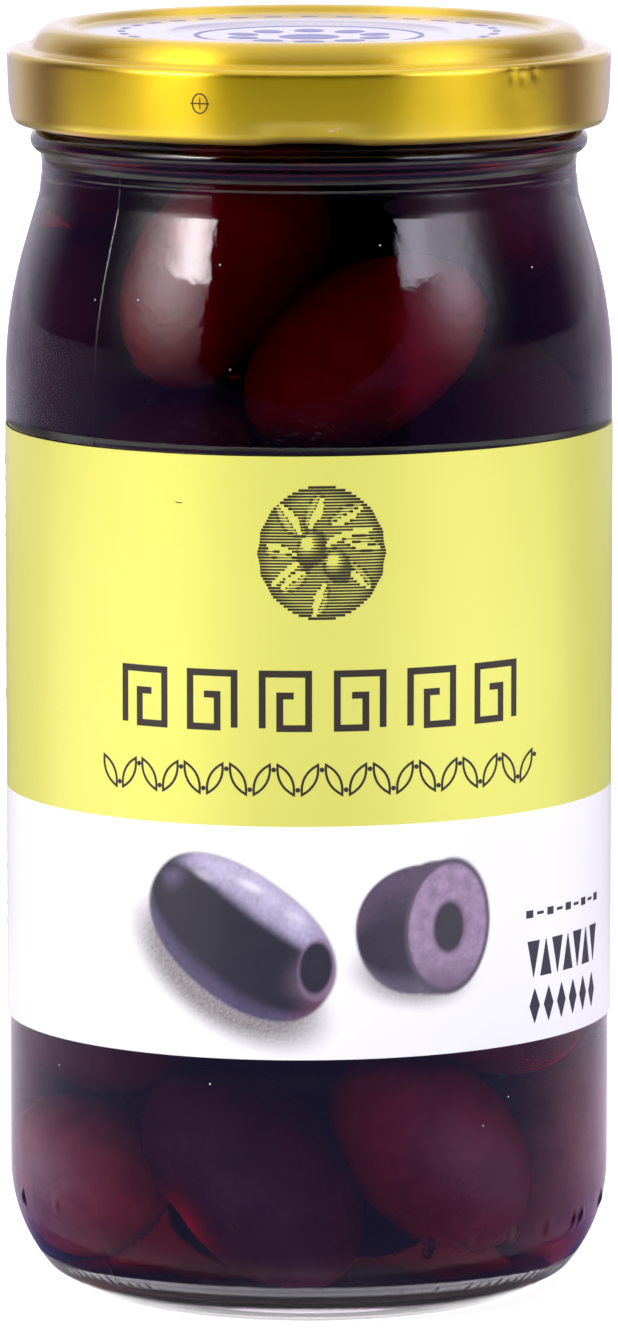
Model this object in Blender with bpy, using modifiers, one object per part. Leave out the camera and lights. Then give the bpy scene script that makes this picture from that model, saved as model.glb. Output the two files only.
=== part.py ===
"""Jar of pitted dark olives: a glass jar with a gold twist-off cap and a wrap-round label.

Metres, +Z up. The jar stands on z = 0 with its axis on Z, and the label's front faces -Y.
"""
import math

import bmesh
import bpy
import numpy as np
from mathutils import Matrix, Vector

MM = 0.001
TURN_STEPS = 40
CORE_TURN_STEPS = 24
WELD = 0.001 * MM

# Glass jar, outside
BODY_RADIUS = 33.24 * MM
BODY_TOP_RADIUS = 33.46 * MM
BEARING_RADIUS = 26.5 * MM
BEARING_WIDTH = 2.2 * MM
PUSH_UP = 1.0 * MM
FOOT_RISE_WIDTH = 3.4 * MM
HEEL_HEIGHT = 12.9 * MM
HEEL_DROP = 7.6 * MM
HEEL_FOOT = 1.3 * MM
NECK_HEIGHT = 124.2 * MM
NECK_RADIUS = 29.35 * MM
NECK_TAPER = 0.107
SHOULDER_TOP = 121.15 * MM
SHOULDER_SLOPE = 0.295
SHOULDER_ROUND = 51.8 * MM
BEAD_HEIGHT = 127.1 * MM
BEAD_RADIUS = 1.28 * MM
RIM_HEIGHT = 138.4 * MM
RIM_ROUND = 1.3 * MM
PANEL_DEPTH = 0.45 * MM
PANEL_MARGIN = 1.0 * MM

# Glass jar, inside
WALL = 2.3 * MM
FLOOR_HEIGHT = 3.2 * MM
FLOOR_RISE = 1.2 * MM
FLOOR_ROUND = 8.0 * MM

# Thread ridges on the neck
THREADS = 4
RIDGE_RADIUS = 0.85 * MM
RIDGE_PITCH_RADIUS = NECK_RADIUS + 0.45 * MM
RIDGE_HIGH = 134.2 * MM
RIDGE_LOW = 131.5 * MM
RIDGE_SWEEP = math.radians(62.0)
RIDGE_POINTS = 9

# Label
LABEL_BOTTOM = 30.3 * MM
LABEL_TOP = 95.9 * MM
LABEL_RADIUS = 33.55 * MM
LABEL_THICKNESS = 0.25 * MM
LABEL_SKEW = math.radians(0.29)

# Twist-off cap
CAP_TOP = 139.7 * MM
CAP_BOTTOM = 129.0 * MM
CAP_RADIUS = 33.0 * MM
CAP_SHEET = 0.5 * MM
CAP_EDGE_ROUND = 1.0 * MM
CAP_LEDGE_HEIGHT = 137.25 * MM
RING_OUTER_RADIUS = 30.5 * MM
RING_CREST_RADIUS = 27.6 * MM
RING_CREST_ROUND = 1.1 * MM
RECESS_RADIUS = 25.6 * MM
RECESS_DEPTH = 0.85 * MM
BUTTON_RADIUS = 15.4 * MM
BUTTON_STEP = 0.35 * MM
CURL_RADIUS = 1.1 * MM
LUG_HALF_ANGLE = math.radians(8.6)
LUG_INNER_RADIUS = 31.0 * MM
LUG_HEIGHT = 1.0 * MM
LUG_BEND_POINTS = 5
RING_SHOULDER = (0.5 * MM, 1.0 * MM)
LEDGE_DROP = 0.15 * MM

# Olives
OLIVE_COUNT = 55
OLIVE_HALF_LENGTH = 12.9 * MM
OLIVE_HALF_WIDTH = 8.35 * MM
OLIVE_TOP = 127.5 * MM
OLIVE_SEED = 11
OLIVE_SEGMENTS = 10
OLIVE_RINGS = 7
CORE_RADIUS = 20.5 * MM
CORE_BOTTOM = 10.5 * MM
CORE_TOP = 120.0 * MM
CORE_CHAMFER = 8.0 * MM
CORE_COVER = 3.0 * MM
OLIVE_TAPER = 0.1
SETTLE_STEPS = 420
HELD_YIELD = 0.12
HEAP_GAP = 0.5 * MM
PROBE_ANGLES = np.radians(np.arange(-75.0, 61.0, 15.0))

# Olives that show at the front: angle from the front towards +X, height of the middle, lean of the
# long axis from level (rising towards +X), half length and half width
FRONT_OLIVES = (
    (-23.5, 112.2 * MM, 57.0, 14.0 * MM, 9.0 * MM),
    (12.5, 104.0 * MM, 20.0, 13.6 * MM, 8.6 * MM),
    (60.0, 119.3 * MM, -12.0, 12.4 * MM, 8.0 * MM),
    (-31.0, 92.2 * MM, 22.0, 13.0 * MM, 8.3 * MM),
    (12.0, 87.0 * MM, -8.0, 12.8 * MM, 8.2 * MM),
    (52.0, 98.0 * MM, -52.0, 12.8 * MM, 8.2 * MM),
    (-66.0, 104.0 * MM, 70.0, 12.6 * MM, 8.0 * MM),
    (-65.0, 14.8 * MM, 8.0, 12.4 * MM, 8.3 * MM),
    (-14.7, 16.6 * MM, -42.0, 13.8 * MM, 8.9 * MM),
    (32.0, 17.2 * MM, -38.0, 13.0 * MM, 8.6 * MM),
    (76.0, 15.0 * MM, 64.0, 12.6 * MM, 8.2 * MM),
    (-57.0, 31.8 * MM, 2.0, 13.0 * MM, 8.4 * MM),
    (54.0, 34.0 * MM, -14.0, 12.8 * MM, 8.2 * MM),
    (-4.0, 37.0 * MM, 12.0, 13.0 * MM, 8.3 * MM),
)


def make_material(name, colour, roughness, metallic=0.0, transmission=0.0):
    material = bpy.data.materials.new(name)
    material.use_nodes = True
    shader = material.node_tree.nodes["Principled BSDF"]
    shader.inputs["Base Color"].default_value = (*colour, 1.0)
    shader.inputs["Roughness"].default_value = roughness
    shader.inputs["Metallic"].default_value = metallic
    shader.inputs["Transmission Weight"].default_value = transmission
    material.diffuse_color = (*colour, 1.0)
    return material


def add_object(name, mesh, collection, material=None):
    obj = bpy.data.objects.new(name, mesh)
    collection.objects.link(obj)
    if material:
        mesh.materials.clear()
        mesh.materials.append(material)
    return obj


def arc(centre, radius, start, end, count):
    """Points on an arc in the profile plane, from angle start to angle end in degrees."""
    angles = np.radians(np.linspace(start, end, count))
    return [(centre[0] + radius * math.cos(a), centre[1] + radius * math.sin(a)) for a in angles]


def bezier(p0, p1, p2, p3, count):
    curve = []
    for t in np.linspace(0.0, 1.0, count):
        weights = ((1 - t) ** 3, 3 * (1 - t) ** 2 * t, 3 * (1 - t) * t * t, t ** 3)
        curve.append(tuple(sum(w * p[axis] for w, p in zip(weights, (p0, p1, p2, p3))) for axis in (0, 1)))
    return curve


TOP_RADIUS = NECK_RADIUS + NECK_TAPER * (NECK_HEIGHT - SHOULDER_TOP)
SHOULDER_TILT = math.atan(SHOULDER_SLOPE)
ROUND_RADIUS = BODY_TOP_RADIUS - SHOULDER_ROUND * (1.0 - math.cos(SHOULDER_TILT))
ROUND_TOP = SHOULDER_TOP - (ROUND_RADIUS - TOP_RADIUS) / SHOULDER_SLOPE
SHOULDER_START = ROUND_TOP - SHOULDER_ROUND * math.sin(SHOULDER_TILT)


def shoulder_radius(height):
    """Outer radius of the glass: a tapered neck, a straight slope and a long round into the body."""
    height = np.asarray(height)
    neck = NECK_RADIUS + NECK_TAPER * np.clip(NECK_HEIGHT - height, 0.0, NECK_HEIGHT - SHOULDER_TOP)
    slope = SHOULDER_SLOPE * np.clip(SHOULDER_TOP - height, 0.0, None)
    above = np.clip(height - SHOULDER_START, 0.0, SHOULDER_ROUND)
    round_part = BODY_TOP_RADIUS - SHOULDER_ROUND + np.sqrt(SHOULDER_ROUND ** 2 - above ** 2)
    return np.where(height > ROUND_TOP, neck + slope, round_part)


def inner_radius(height):
    """Radius of the space inside the jar, with its rounded bottom corner."""
    drop = np.clip(FLOOR_HEIGHT + FLOOR_ROUND - height, 0.0, FLOOR_ROUND)
    corner = FLOOR_ROUND - np.sqrt(FLOOR_ROUND ** 2 - drop ** 2)
    return np.minimum(BODY_RADIUS, shoulder_radius(height)) - WALL - corner


def glass_profile():
    """Closed profile of the jar: up the inside from the floor, over the rim and down the outside."""
    inside = [(0.0, FLOOR_HEIGHT + FLOOR_RISE)]
    corner = FLOOR_HEIGHT + FLOOR_ROUND * (1.0 - np.cos(np.radians(np.linspace(0.0, 90.0, 4))))
    inside += [(inner_radius(h), h) for h in corner]
    shoulder = list(np.linspace(SHOULDER_START, ROUND_TOP, 5)) + [SHOULDER_TOP, NECK_HEIGHT]
    inside += [(inner_radius(h), h) for h in shoulder]
    rim_centre = NECK_RADIUS - RIM_ROUND
    inside += arc((rim_centre, RIM_HEIGHT - RIM_ROUND), RIM_ROUND, 150, 0, 4)
    bead = arc((NECK_RADIUS, BEAD_HEIGHT), BEAD_RADIUS, 90, -90, 6)
    outside = [(shoulder_radius(h), h) for h in reversed(shoulder)]
    panel = BODY_RADIUS - PANEL_DEPTH
    outside += [
        (BODY_TOP_RADIUS, LABEL_TOP + PANEL_MARGIN),
        (panel, LABEL_TOP + PANEL_MARGIN - PANEL_DEPTH),
        (panel, LABEL_BOTTOM - PANEL_MARGIN + PANEL_DEPTH),
        (BODY_RADIUS, LABEL_BOTTOM - PANEL_MARGIN),
    ]
    heel = bezier(
        (BODY_RADIUS, HEEL_HEIGHT),
        (BODY_RADIUS, HEEL_HEIGHT - HEEL_DROP),
        (BEARING_RADIUS + HEEL_FOOT, 0.0),
        (BEARING_RADIUS, 0.0),
        7,
    )
    inner_foot = BEARING_RADIUS - BEARING_WIDTH
    base = [(inner_foot, 0.0), (inner_foot - FOOT_RISE_WIDTH, PUSH_UP), (0.0, PUSH_UP)]
    return inside + bead + outside + heel + base


def cap_profile():
    """Outer face of the cap: button, panel, raised ring, ledge, skirt and curled edge."""
    panel = CAP_TOP - RECESS_DEPTH
    button = panel - BUTTON_STEP
    crest = CAP_TOP - RING_CREST_ROUND
    profile = [(0.0, button - BUTTON_STEP), (BUTTON_RADIUS * 0.6, button - 0.4 * BUTTON_STEP)]
    profile += [(BUTTON_RADIUS, button), (BUTTON_RADIUS + BUTTON_STEP, panel), (RECESS_RADIUS, panel)]
    profile += arc((RING_CREST_RADIUS, crest), RING_CREST_ROUND, 150, 30, 5)
    profile += [(RING_OUTER_RADIUS - RING_SHOULDER[0], CAP_LEDGE_HEIGHT + RING_SHOULDER[1])]
    profile += [(RING_OUTER_RADIUS, CAP_LEDGE_HEIGHT)]
    edge = (CAP_RADIUS - CAP_EDGE_ROUND, CAP_LEDGE_HEIGHT - LEDGE_DROP - CAP_EDGE_ROUND)
    profile += arc(edge, CAP_EDGE_ROUND, 90, 0, 4)
    curl = (CAP_RADIUS - CURL_RADIUS, CAP_BOTTOM + CURL_RADIUS)
    profile += arc(curl, CURL_RADIUS, 0, -120, 5)
    return profile


def turn(obj, steps):
    """Spins the object's profile about Z."""
    screw = obj.modifiers.new("Turn", "SCREW")
    screw.axis = "Z"
    screw.steps = steps
    screw.render_steps = steps
    screw.use_merge_vertices = True
    screw.merge_threshold = 10.0 * WELD
    screw.use_smooth_shade = True


def turned(name, profile, collection, material, steps=TURN_STEPS):
    mesh = bpy.data.meshes.new(name)
    edges = [(i, i + 1) for i in range(len(profile) - 1)]
    mesh.from_pydata([(radius, 0.0, height) for radius, height in profile], edges, [])
    obj = add_object(name, mesh, collection, material)
    turn(obj, steps)
    return obj


def bake(obj):
    """Makes the evaluated shape the object's own mesh."""
    evaluated = obj.evaluated_get(bpy.context.evaluated_depsgraph_get())
    mesh = bpy.data.meshes.new_from_object(evaluated)
    obj.modifiers.clear()
    obj.data = mesh
    return mesh


def union(obj, pieces):
    """Joins every object of the collection to obj, and removes them."""
    joined = obj.modifiers.new("Union", "BOOLEAN")
    joined.operation = "UNION"
    joined.operand_type = "COLLECTION"
    joined.collection = pieces
    joined.solver = "EXACT"
    bake(obj)
    for piece in list(pieces.objects):
        bpy.data.objects.remove(piece)
    bpy.data.collections.remove(pieces)


def cutter_collection(name):
    pieces = bpy.data.collections.new(name)
    bpy.context.scene.collection.children.link(pieces)
    return pieces


def thread_ridge(index, pieces):
    """One sloping ridge of the neck's thread, a short helix sunk into the glass."""
    curve = bpy.data.curves.new("ridge", "CURVE")
    curve.dimensions = "3D"
    curve.bevel_depth = RIDGE_RADIUS
    curve.bevel_resolution = 2
    curve.use_fill_caps = True
    spline = curve.splines.new("POLY")
    spline.points.add(RIDGE_POINTS - 1)
    start = 2.0 * math.pi * index / THREADS
    for point, t in zip(spline.points, np.linspace(0.0, 1.0, RIDGE_POINTS)):
        angle = start + t * RIDGE_SWEEP
        height = RIDGE_LOW + t * (RIDGE_HIGH - RIDGE_LOW)
        x = RIDGE_PITCH_RADIUS * math.cos(angle)
        y = RIDGE_PITCH_RADIUS * math.sin(angle)
        point.co = (x, y, height, 1.0)
    guide = bpy.data.objects.new("ridge", curve)
    pieces.objects.link(guide)
    evaluated = guide.evaluated_get(bpy.context.evaluated_depsgraph_get())
    mesh = bpy.data.meshes.new_from_object(evaluated)
    bpy.data.objects.remove(guide)
    form = bmesh.new()
    form.from_mesh(mesh)
    bmesh.ops.remove_doubles(form, verts=form.verts, dist=WELD)
    bmesh.ops.recalc_face_normals(form, faces=form.faces)
    form.to_mesh(mesh)
    form.free()
    return add_object(f"ridge_{index}", mesh, pieces)


def make_glass(parts):
    clear = make_material("glass", (0.86, 0.9, 0.9), 0.03, 0.0, 1.0)
    glass = turned("glass_jar", glass_profile(), parts, clear)
    pieces = cutter_collection("thread_ridges")
    for index in range(THREADS):
        thread_ridge(index, pieces)
    union(glass, pieces)
    return glass


def cap_lug(index, pieces):
    """One lug: a short stretch of the curled edge pressed inwards under the thread."""
    form = bmesh.new()
    middle = -math.pi / 2 + 2.0 * math.pi * index / THREADS
    outer_radius = CAP_RADIUS - 0.5 * CAP_SHEET
    bottom = CAP_BOTTOM + 0.5 * CAP_SHEET
    rows = []
    for angle in np.linspace(middle - LUG_HALF_ANGLE, middle + LUG_HALF_ANGLE, LUG_BEND_POINTS):
        corners = (
            (outer_radius, bottom + LUG_HEIGHT),
            (outer_radius, bottom + 0.3 * LUG_HEIGHT),
            (outer_radius - CURL_RADIUS, bottom),
            (LUG_INNER_RADIUS, bottom + 0.2 * LUG_HEIGHT),
            (LUG_INNER_RADIUS, bottom + LUG_HEIGHT),
        )
        rows.append([form.verts.new((r * math.cos(angle), r * math.sin(angle), h)) for r, h in corners])
    count = len(rows[0])
    for row, following in zip(rows, rows[1:]):
        for k in range(count):
            form.faces.new((row[k], row[(k + 1) % count], following[(k + 1) % count], following[k]))
    form.faces.new(rows[0])
    form.faces.new(rows[-1])
    bmesh.ops.recalc_face_normals(form, faces=form.faces)
    mesh = bpy.data.meshes.new("lug")
    form.to_mesh(mesh)
    form.free()
    return add_object(f"lug_{index}", mesh, pieces)


def make_cap(parts):
    cap = turned("lid", cap_profile(), parts, make_material("gold_lacquer", (0.75, 0.55, 0.09), 0.28, 1.0))
    shell = cap.modifiers.new("Sheet", "SOLIDIFY")
    shell.thickness = CAP_SHEET
    shell.offset = -1.0
    shell.use_even_offset = True
    pieces = cutter_collection("cap_lugs")
    for index in range(THREADS):
        cap_lug(index, pieces)
    union(cap, pieces)
    return cap


def make_label(parts):
    inner = LABEL_RADIUS - LABEL_THICKNESS
    profile = [
        (inner, LABEL_TOP),
        (LABEL_RADIUS, LABEL_TOP),
        (LABEL_RADIUS, LABEL_BOTTOM),
        (inner, LABEL_BOTTOM),
        (inner, LABEL_TOP),
    ]
    label = turned("label", profile, parts, make_material("label_foil", (0.72, 0.68, 0.1), 0.35, 0.3))
    skew = Matrix.Identity(4)
    skew[2][0] = math.tan(LABEL_SKEW)
    bake(label).transform(skew)
    return label


def olive_spheres(half_length, half_width):
    """Offsets along the axis and radii of seven spheres that together fill one olive."""
    reach = half_length ** 2 - half_width ** 2
    offsets = np.array((0.0, 0.4, -0.4, 0.75, -0.75, 1.0, -1.0)) * reach / half_length
    return offsets, half_width * np.sqrt(1.0 - offsets ** 2 / reach)


def front_axes(angle):
    """Outward and sideways directions at an angle from the front, towards +X."""
    outward = np.array((math.sin(angle), -math.cos(angle), 0.0))
    sideways = np.array((math.cos(angle), math.sin(angle), 0.0))
    return outward, sideways


def scatter_olives(draw):
    """Starting places, axes and sizes: the front olives first, then a loose random fill."""
    places, axes, lengths, widths = [], [], [], []
    for angle, height, lean, half_length, half_width in FRONT_OLIVES:
        outward, sideways = front_axes(math.radians(angle))
        rise = math.radians(lean)
        depth = inner_radius(height) - HEAP_GAP - half_width
        places.append(outward * depth + np.array((0.0, 0.0, height)))
        axes.append(sideways * math.cos(rise) + np.array((0.0, 0.0, math.sin(rise))))
        lengths.append(half_length)
        widths.append(half_width)
    spread = 0.7 * (BODY_RADIUS - WALL)
    while len(places) < OLIVE_COUNT:
        outward, _ = front_axes(draw.uniform(0.0, 2.0 * math.pi))
        depth = spread * math.sqrt(draw.uniform(0.0, 1.0))
        height = draw.uniform(FLOOR_HEIGHT + OLIVE_HALF_WIDTH, OLIVE_TOP - OLIVE_HALF_WIDTH)
        axis = draw.normal(size=3)
        places.append(outward * depth + np.array((0.0, 0.0, height)))
        axes.append(axis / np.linalg.norm(axis))
        lengths.append(OLIVE_HALF_LENGTH * draw.uniform(0.9, 1.05))
        widths.append(OLIVE_HALF_WIDTH * draw.uniform(0.93, 1.04))
    return np.array(places), np.array(axes), np.array(lengths), np.array(widths)


def settle_olives():
    """Pushes the scattered olives apart and off the glass until they lie side by side."""
    draw = np.random.default_rng(OLIVE_SEED)
    places, axes, lengths, widths = scatter_olives(draw)
    held = np.arange(len(places)) < len(FRONT_OLIVES)
    home, aim = places.copy(), axes.copy()
    spheres = [olive_spheres(a, b) for a, b in zip(lengths, widths)]
    offsets = np.array([offset for offset, _ in spheres])
    radii = np.array([radius for _, radius in spheres])
    owner = np.repeat(np.arange(len(places)), offsets.shape[1])
    same = owner[:, None] == owner[None, :]
    yielding = np.where(held, HELD_YIELD, 1.0)[owner]
    share = yielding[:, None] / (yielding[:, None] + yielding[None, :])
    for step in range(SETTLE_STEPS):
        grown = min(1.0, 0.55 + 0.75 * step / SETTLE_STEPS)
        ease = min(1.0, 4.0 * (1.0 - step / SETTLE_STEPS))
        centres = (places[:, None, :] + axes[:, None, :] * (offsets * grown)[..., None]).reshape(-1, 3)
        size = (radii * grown).ravel()
        apart = centres[:, None, :] - centres[None, :, :]
        distance = np.sqrt((apart ** 2).sum(-1)) + 1e-9
        overlap = np.clip(size[:, None] + size[None, :] - distance, 0.0, None)
        overlap[same] = 0.0
        push = 0.5 * ease * (apart * (overlap * share / distance)[..., None]).sum(1)
        reach = np.hypot(centres[:, 0], centres[:, 1]) + 1e-9
        beyond = np.zeros(len(centres))
        for angle in PROBE_ANGLES:
            probe = reach + size * math.cos(angle) + HEAP_GAP
            beyond = np.maximum(beyond, probe - inner_radius(centres[:, 2] + size * math.sin(angle)))
        push[:, :2] -= centres[:, :2] * (beyond / reach)[:, None]
        floor = FLOOR_HEIGHT + FLOOR_RISE + HEAP_GAP - FLOOR_RISE * reach / BODY_RADIUS
        push[:, 2] += np.clip(floor + size - centres[:, 2], 0.0, None)
        push[:, 2] -= np.clip(centres[:, 2] + size - OLIVE_TOP, 0.0, None)
        by_olive = push.reshape(*offsets.shape, 3)
        arms = centres.reshape(*offsets.shape, 3) - places[:, None, :]
        swing = np.cross(arms, by_olive).sum(1) / (1.3 * lengths[:, None] ** 2)
        swing *= np.minimum(1.0, 0.15 / (np.linalg.norm(swing, axis=1, keepdims=True) + 1e-9))
        move = by_olive.sum(1) / 2.2
        move *= np.minimum(1.0, 2.0 * MM / (np.linalg.norm(move, axis=1, keepdims=True) + 1e-9))
        places += move
        axes += np.cross(swing, axes)
        places[held] += HELD_YIELD * ease * (home - places)[held]
        axes[held] += HELD_YIELD * ease * (aim - axes)[held]
        axes /= np.linalg.norm(axes, axis=1, keepdims=True)
    return zip(places, axes, lengths, widths)


def olive(name, place, axis, half_length, half_width, pieces):
    """One olive of few sides: an ellipsoid, a little pointed at its ends."""
    form = bmesh.new()
    bmesh.ops.create_uvsphere(form, u_segments=OLIVE_SEGMENTS, v_segments=OLIVE_RINGS, radius=1.0)
    for vertex in form.verts:
        taper = 1.0 - OLIVE_TAPER * vertex.co.z ** 4
        vertex.co.x *= half_width * taper
        vertex.co.y *= half_width * taper
        vertex.co.z *= half_length
    turn_to_axis = Vector(axis).to_track_quat("Z", "Y").to_matrix().to_4x4()
    form.transform(Matrix.Translation(place) @ turn_to_axis)
    mesh = bpy.data.meshes.new(name)
    form.to_mesh(mesh)
    form.free()
    return add_object(name, mesh, pieces)


def keep_outer_shell(obj):
    """Fills sealed hollows and drops loose scraps: only the island with the largest box stays."""
    form = bmesh.new()
    form.from_mesh(obj.data)
    bmesh.ops.remove_doubles(form, verts=form.verts, dist=2.0 * WELD)
    unseen = set(form.verts)
    islands = []
    while unseen:
        front = [unseen.pop()]
        island = set(front)
        while front:
            vertex = front.pop()
            for edge in vertex.link_edges:
                other = edge.other_vert(vertex)
                if other in unseen:
                    unseen.remove(other)
                    island.add(other)
                    front.append(other)
        islands.append(island)
    islands.sort(key=len)
    for island in islands[:-1]:
        bmesh.ops.delete(form, geom=list(island), context="VERTS")
    bmesh.ops.triangulate(form, faces=form.faces)
    form.to_mesh(obj.data)
    form.free()


def make_olives(parts):
    """The heap: a plain core with the olives that show against the glass fused on."""
    core = [(0.0, CORE_TOP), (0.8 * CORE_RADIUS, CORE_TOP), (CORE_RADIUS, CORE_TOP - CORE_CHAMFER)]
    core += [(CORE_RADIUS, CORE_BOTTOM + 3.0 * MM), (0.85 * CORE_RADIUS, CORE_BOTTOM), (0.0, CORE_BOTTOM)]
    skin = make_material("olive_skin", (0.09, 0.02, 0.05), 0.3)
    heap = turned("olives", core, parts, skin, CORE_TURN_STEPS)
    pieces = cutter_collection("single_olives")
    for index, (place, axis, half_length, half_width) in enumerate(settle_olives()):
        along = abs(axis[2])
        width = half_width + (half_length - half_width) * (1.0 - along)
        clear_of_core = math.hypot(place[0], place[1]) + width > CORE_RADIUS + CORE_COVER
        at_end = place[2] - half_width < CORE_BOTTOM or place[2] + half_width > CORE_TOP
        if clear_of_core or at_end:
            olive(f"olive_{index}", place, axis, half_length, half_width, pieces)
    union(heap, pieces)
    keep_outer_shell(heap)
    return heap


def main():
    for obj in list(bpy.data.objects):
        bpy.data.objects.remove(obj)
    parts = bpy.data.collections.new("jar_of_olives")
    bpy.context.scene.collection.children.link(parts)
    make_glass(parts)
    make_cap(parts)
    make_label(parts)
    make_olives(parts)
    for obj in parts.objects:
        obj.data.shade_smooth()


main()
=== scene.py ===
"""Looks of the jar of olives: real glass, brine, olives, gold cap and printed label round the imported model.

Metres, in the model's own frame: the jar stands on z = 0 with its axis on Z and its front towards -Y.
"""
import math

import bpy
import numpy as np
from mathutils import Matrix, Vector, noise


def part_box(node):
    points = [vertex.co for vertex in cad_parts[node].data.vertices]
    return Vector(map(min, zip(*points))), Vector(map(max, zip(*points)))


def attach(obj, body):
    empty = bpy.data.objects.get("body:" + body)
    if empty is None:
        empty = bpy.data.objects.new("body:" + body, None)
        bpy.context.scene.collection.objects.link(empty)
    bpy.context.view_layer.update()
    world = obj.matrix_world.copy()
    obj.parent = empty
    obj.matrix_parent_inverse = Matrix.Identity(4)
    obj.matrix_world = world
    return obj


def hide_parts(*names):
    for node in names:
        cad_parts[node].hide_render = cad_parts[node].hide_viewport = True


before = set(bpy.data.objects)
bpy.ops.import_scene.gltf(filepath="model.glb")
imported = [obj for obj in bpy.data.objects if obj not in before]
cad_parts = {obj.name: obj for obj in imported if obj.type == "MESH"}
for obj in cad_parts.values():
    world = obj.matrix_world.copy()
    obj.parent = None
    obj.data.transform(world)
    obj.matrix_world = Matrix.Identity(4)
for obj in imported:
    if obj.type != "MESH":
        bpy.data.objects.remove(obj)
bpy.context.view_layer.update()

MM = 0.001
GLASS_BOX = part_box("glass_jar")
LID_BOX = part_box("lid")

# Glass jar, outside
BODY_RADIUS = 33.24 * MM
BODY_TOP_RADIUS = 33.46 * MM
BEARING_RADIUS = 26.5 * MM
BEARING_WIDTH = 2.2 * MM
PUSH_UP = 1.0 * MM
HEEL_HEIGHT = 12.9 * MM
HEEL_DROP = 7.6 * MM
HEEL_FOOT = 1.3 * MM
NECK_HEIGHT = 124.2 * MM
NECK_RADIUS = 29.35 * MM
NECK_TAPER = 0.107
PARTING_HEIGHT = 0.07 * MM
SHOULDER_TOP = 121.15 * MM
SHOULDER_SLOPE = 0.295
SHOULDER_ROUND = 51.8 * MM
BEAD_HEIGHT = 127.1 * MM
BEAD_RADIUS = 1.28 * MM
RIM_HEIGHT = GLASS_BOX[1][2]
RIM_ROUND = 1.3 * MM
PANEL_DEPTH = 0.14 * MM

# Where the shoulder's straight slope passes into its long round, and where the round starts
TOP_RADIUS = NECK_RADIUS + NECK_TAPER * (NECK_HEIGHT - SHOULDER_TOP)
SHOULDER_TILT = math.atan(SHOULDER_SLOPE)
ROUND_RADIUS = BODY_TOP_RADIUS - SHOULDER_ROUND * (1.0 - math.cos(SHOULDER_TILT))
ROUND_TOP = SHOULDER_TOP - (ROUND_RADIUS - TOP_RADIUS) / SHOULDER_SLOPE
SHOULDER_START = ROUND_TOP - SHOULDER_ROUND * math.sin(SHOULDER_TILT)

# Glass jar, inside, and the brine in it
WALL = 2.3 * MM
FLOOR_HEIGHT = 3.2 * MM
FLOOR_RISE = 1.2 * MM
FLOOR_ROUND = 8.0 * MM
BRINE_REACH = 0.2 * MM
BRINE_SEGMENTS = 160
BRINE_LEVELS = (127.0 * MM, 130.0 * MM, 132.5 * MM)

# Marks that the mould leaves on the glass, with the steps in degrees at which a mark is cut up
GLASS_SEGMENTS = 340
LEAST_TURN = 0.001
DOT_STEPS = (-1.35, -1.1, -0.85, -0.55, -0.25, 0.0, 0.25, 0.55, 0.85, 1.1, 1.35)
SEAM_STEPS = (-0.45, -0.3, -0.18, -0.08, 0.0, 0.08, 0.18, 0.3, 0.45)
SEAM_ANGLES = (math.radians(-44.0), math.radians(136.0))
SEAM_BOTTOM = 3.0 * MM
SEAM_HEIGHT = 0.05 * MM
SEAM_WIDTH = 0.13 * MM
HEEL_DOT_HEIGHT = 0.27 * MM
HEEL_DOT_REACH = (0.74 * MM, 1.1 * MM)
HEEL_DOTS = (
    (-72.7, 10.4 * MM), (-56.8, 11.2 * MM), (-14.0, 10.8 * MM), (23.2, 9.0 * MM), (33.6, 9.2 * MM),
    (43.3, 9.2 * MM), (53.0, 9.0 * MM), (63.1, 8.9 * MM), (66.4, 9.0 * MM), (79.0, 9.6 * MM),
)
KNURLS = 110
KNURL_HEIGHT = 0.16 * MM
KNURL_REACH = 0.9 * MM
KNURL_TOP = 0.4 * MM
STIPPLE_TOP = 0.9 * MM
STIPPLE_ROUGHNESS = 0.15

# Unevenness of the glass, each with its depth, the size of its waves and a seed
RIPPLE = (0.016 * MM, 6.5 * MM, 3.0)
FINE_RIPPLE = (0.008 * MM, 3.1 * MM, 9.0)
CREASES = (0.011 * MM, 2.3 * MM, 23.0)
WANDER_INSIDE = (0.09 * MM, 34.0 * MM, 17.0)
CREASE_HEIGHT, CREASE_SPREAD = 117.0 * MM, 5.0 * MM
CALM_FOOT = 10.0 * MM
GLASS_GRAIN = (800.0, 4.0)
GLASS_GRAIN_STRENGTH = 0.1

# Label
LABEL_BOTTOM = 30.3 * MM
LABEL_TOP = 95.9 * MM
LABEL_RADIUS = 33.55 * MM
LABEL_THICKNESS = 0.12 * MM
LABEL_SKEW = math.radians(0.29)
FIELD_SPLIT = 55.8 * MM
LABEL_OVERLAP = math.radians(9.0)

# Cap, and its dents by angle, height, depth, half width and half height
CAP_TOP = LID_BOX[1][2]
CAP_BOTTOM = LID_BOX[0][2]
CAP_RADIUS = 33.0 * MM
CAP_SHEET = 0.25 * MM
CAP_EDGE_ROUND = 0.8 * MM
CAP_LEDGE_HEIGHT = 137.25 * MM
RING_OUTER_RADIUS = 30.5 * MM
RING_CREST_RADIUS = 27.6 * MM
RING_CREST_ROUND = 1.1 * MM
RECESS_RADIUS = 25.6 * MM
RECESS_DEPTH = 0.85 * MM
PANEL_HEIGHT = CAP_TOP - RECESS_DEPTH
PANEL_REACH = 24.9 * MM
BUTTON_RADIUS = 15.4 * MM
BUTTON_EDGE = 15.1 * MM
BUTTON_STEP = 0.35 * MM
BUTTON_SAG = 0.3 * MM
CURL_RADIUS = 1.1 * MM
SKIRT_SPAN = (CAP_LEDGE_HEIGHT - 0.12 * MM - CAP_EDGE_ROUND, CAP_BOTTOM + CURL_RADIUS)
SKIRT_TOP_OUT = 0.15 * MM
SKIRT_LEAN = (0.05 * MM, 0.18 * MM)
LUGS = 4
LUG_HALF_ANGLE = math.radians(8.6)
LUG_HEIGHT = 2.4 * MM
CAP_SEGMENTS = 512
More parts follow.
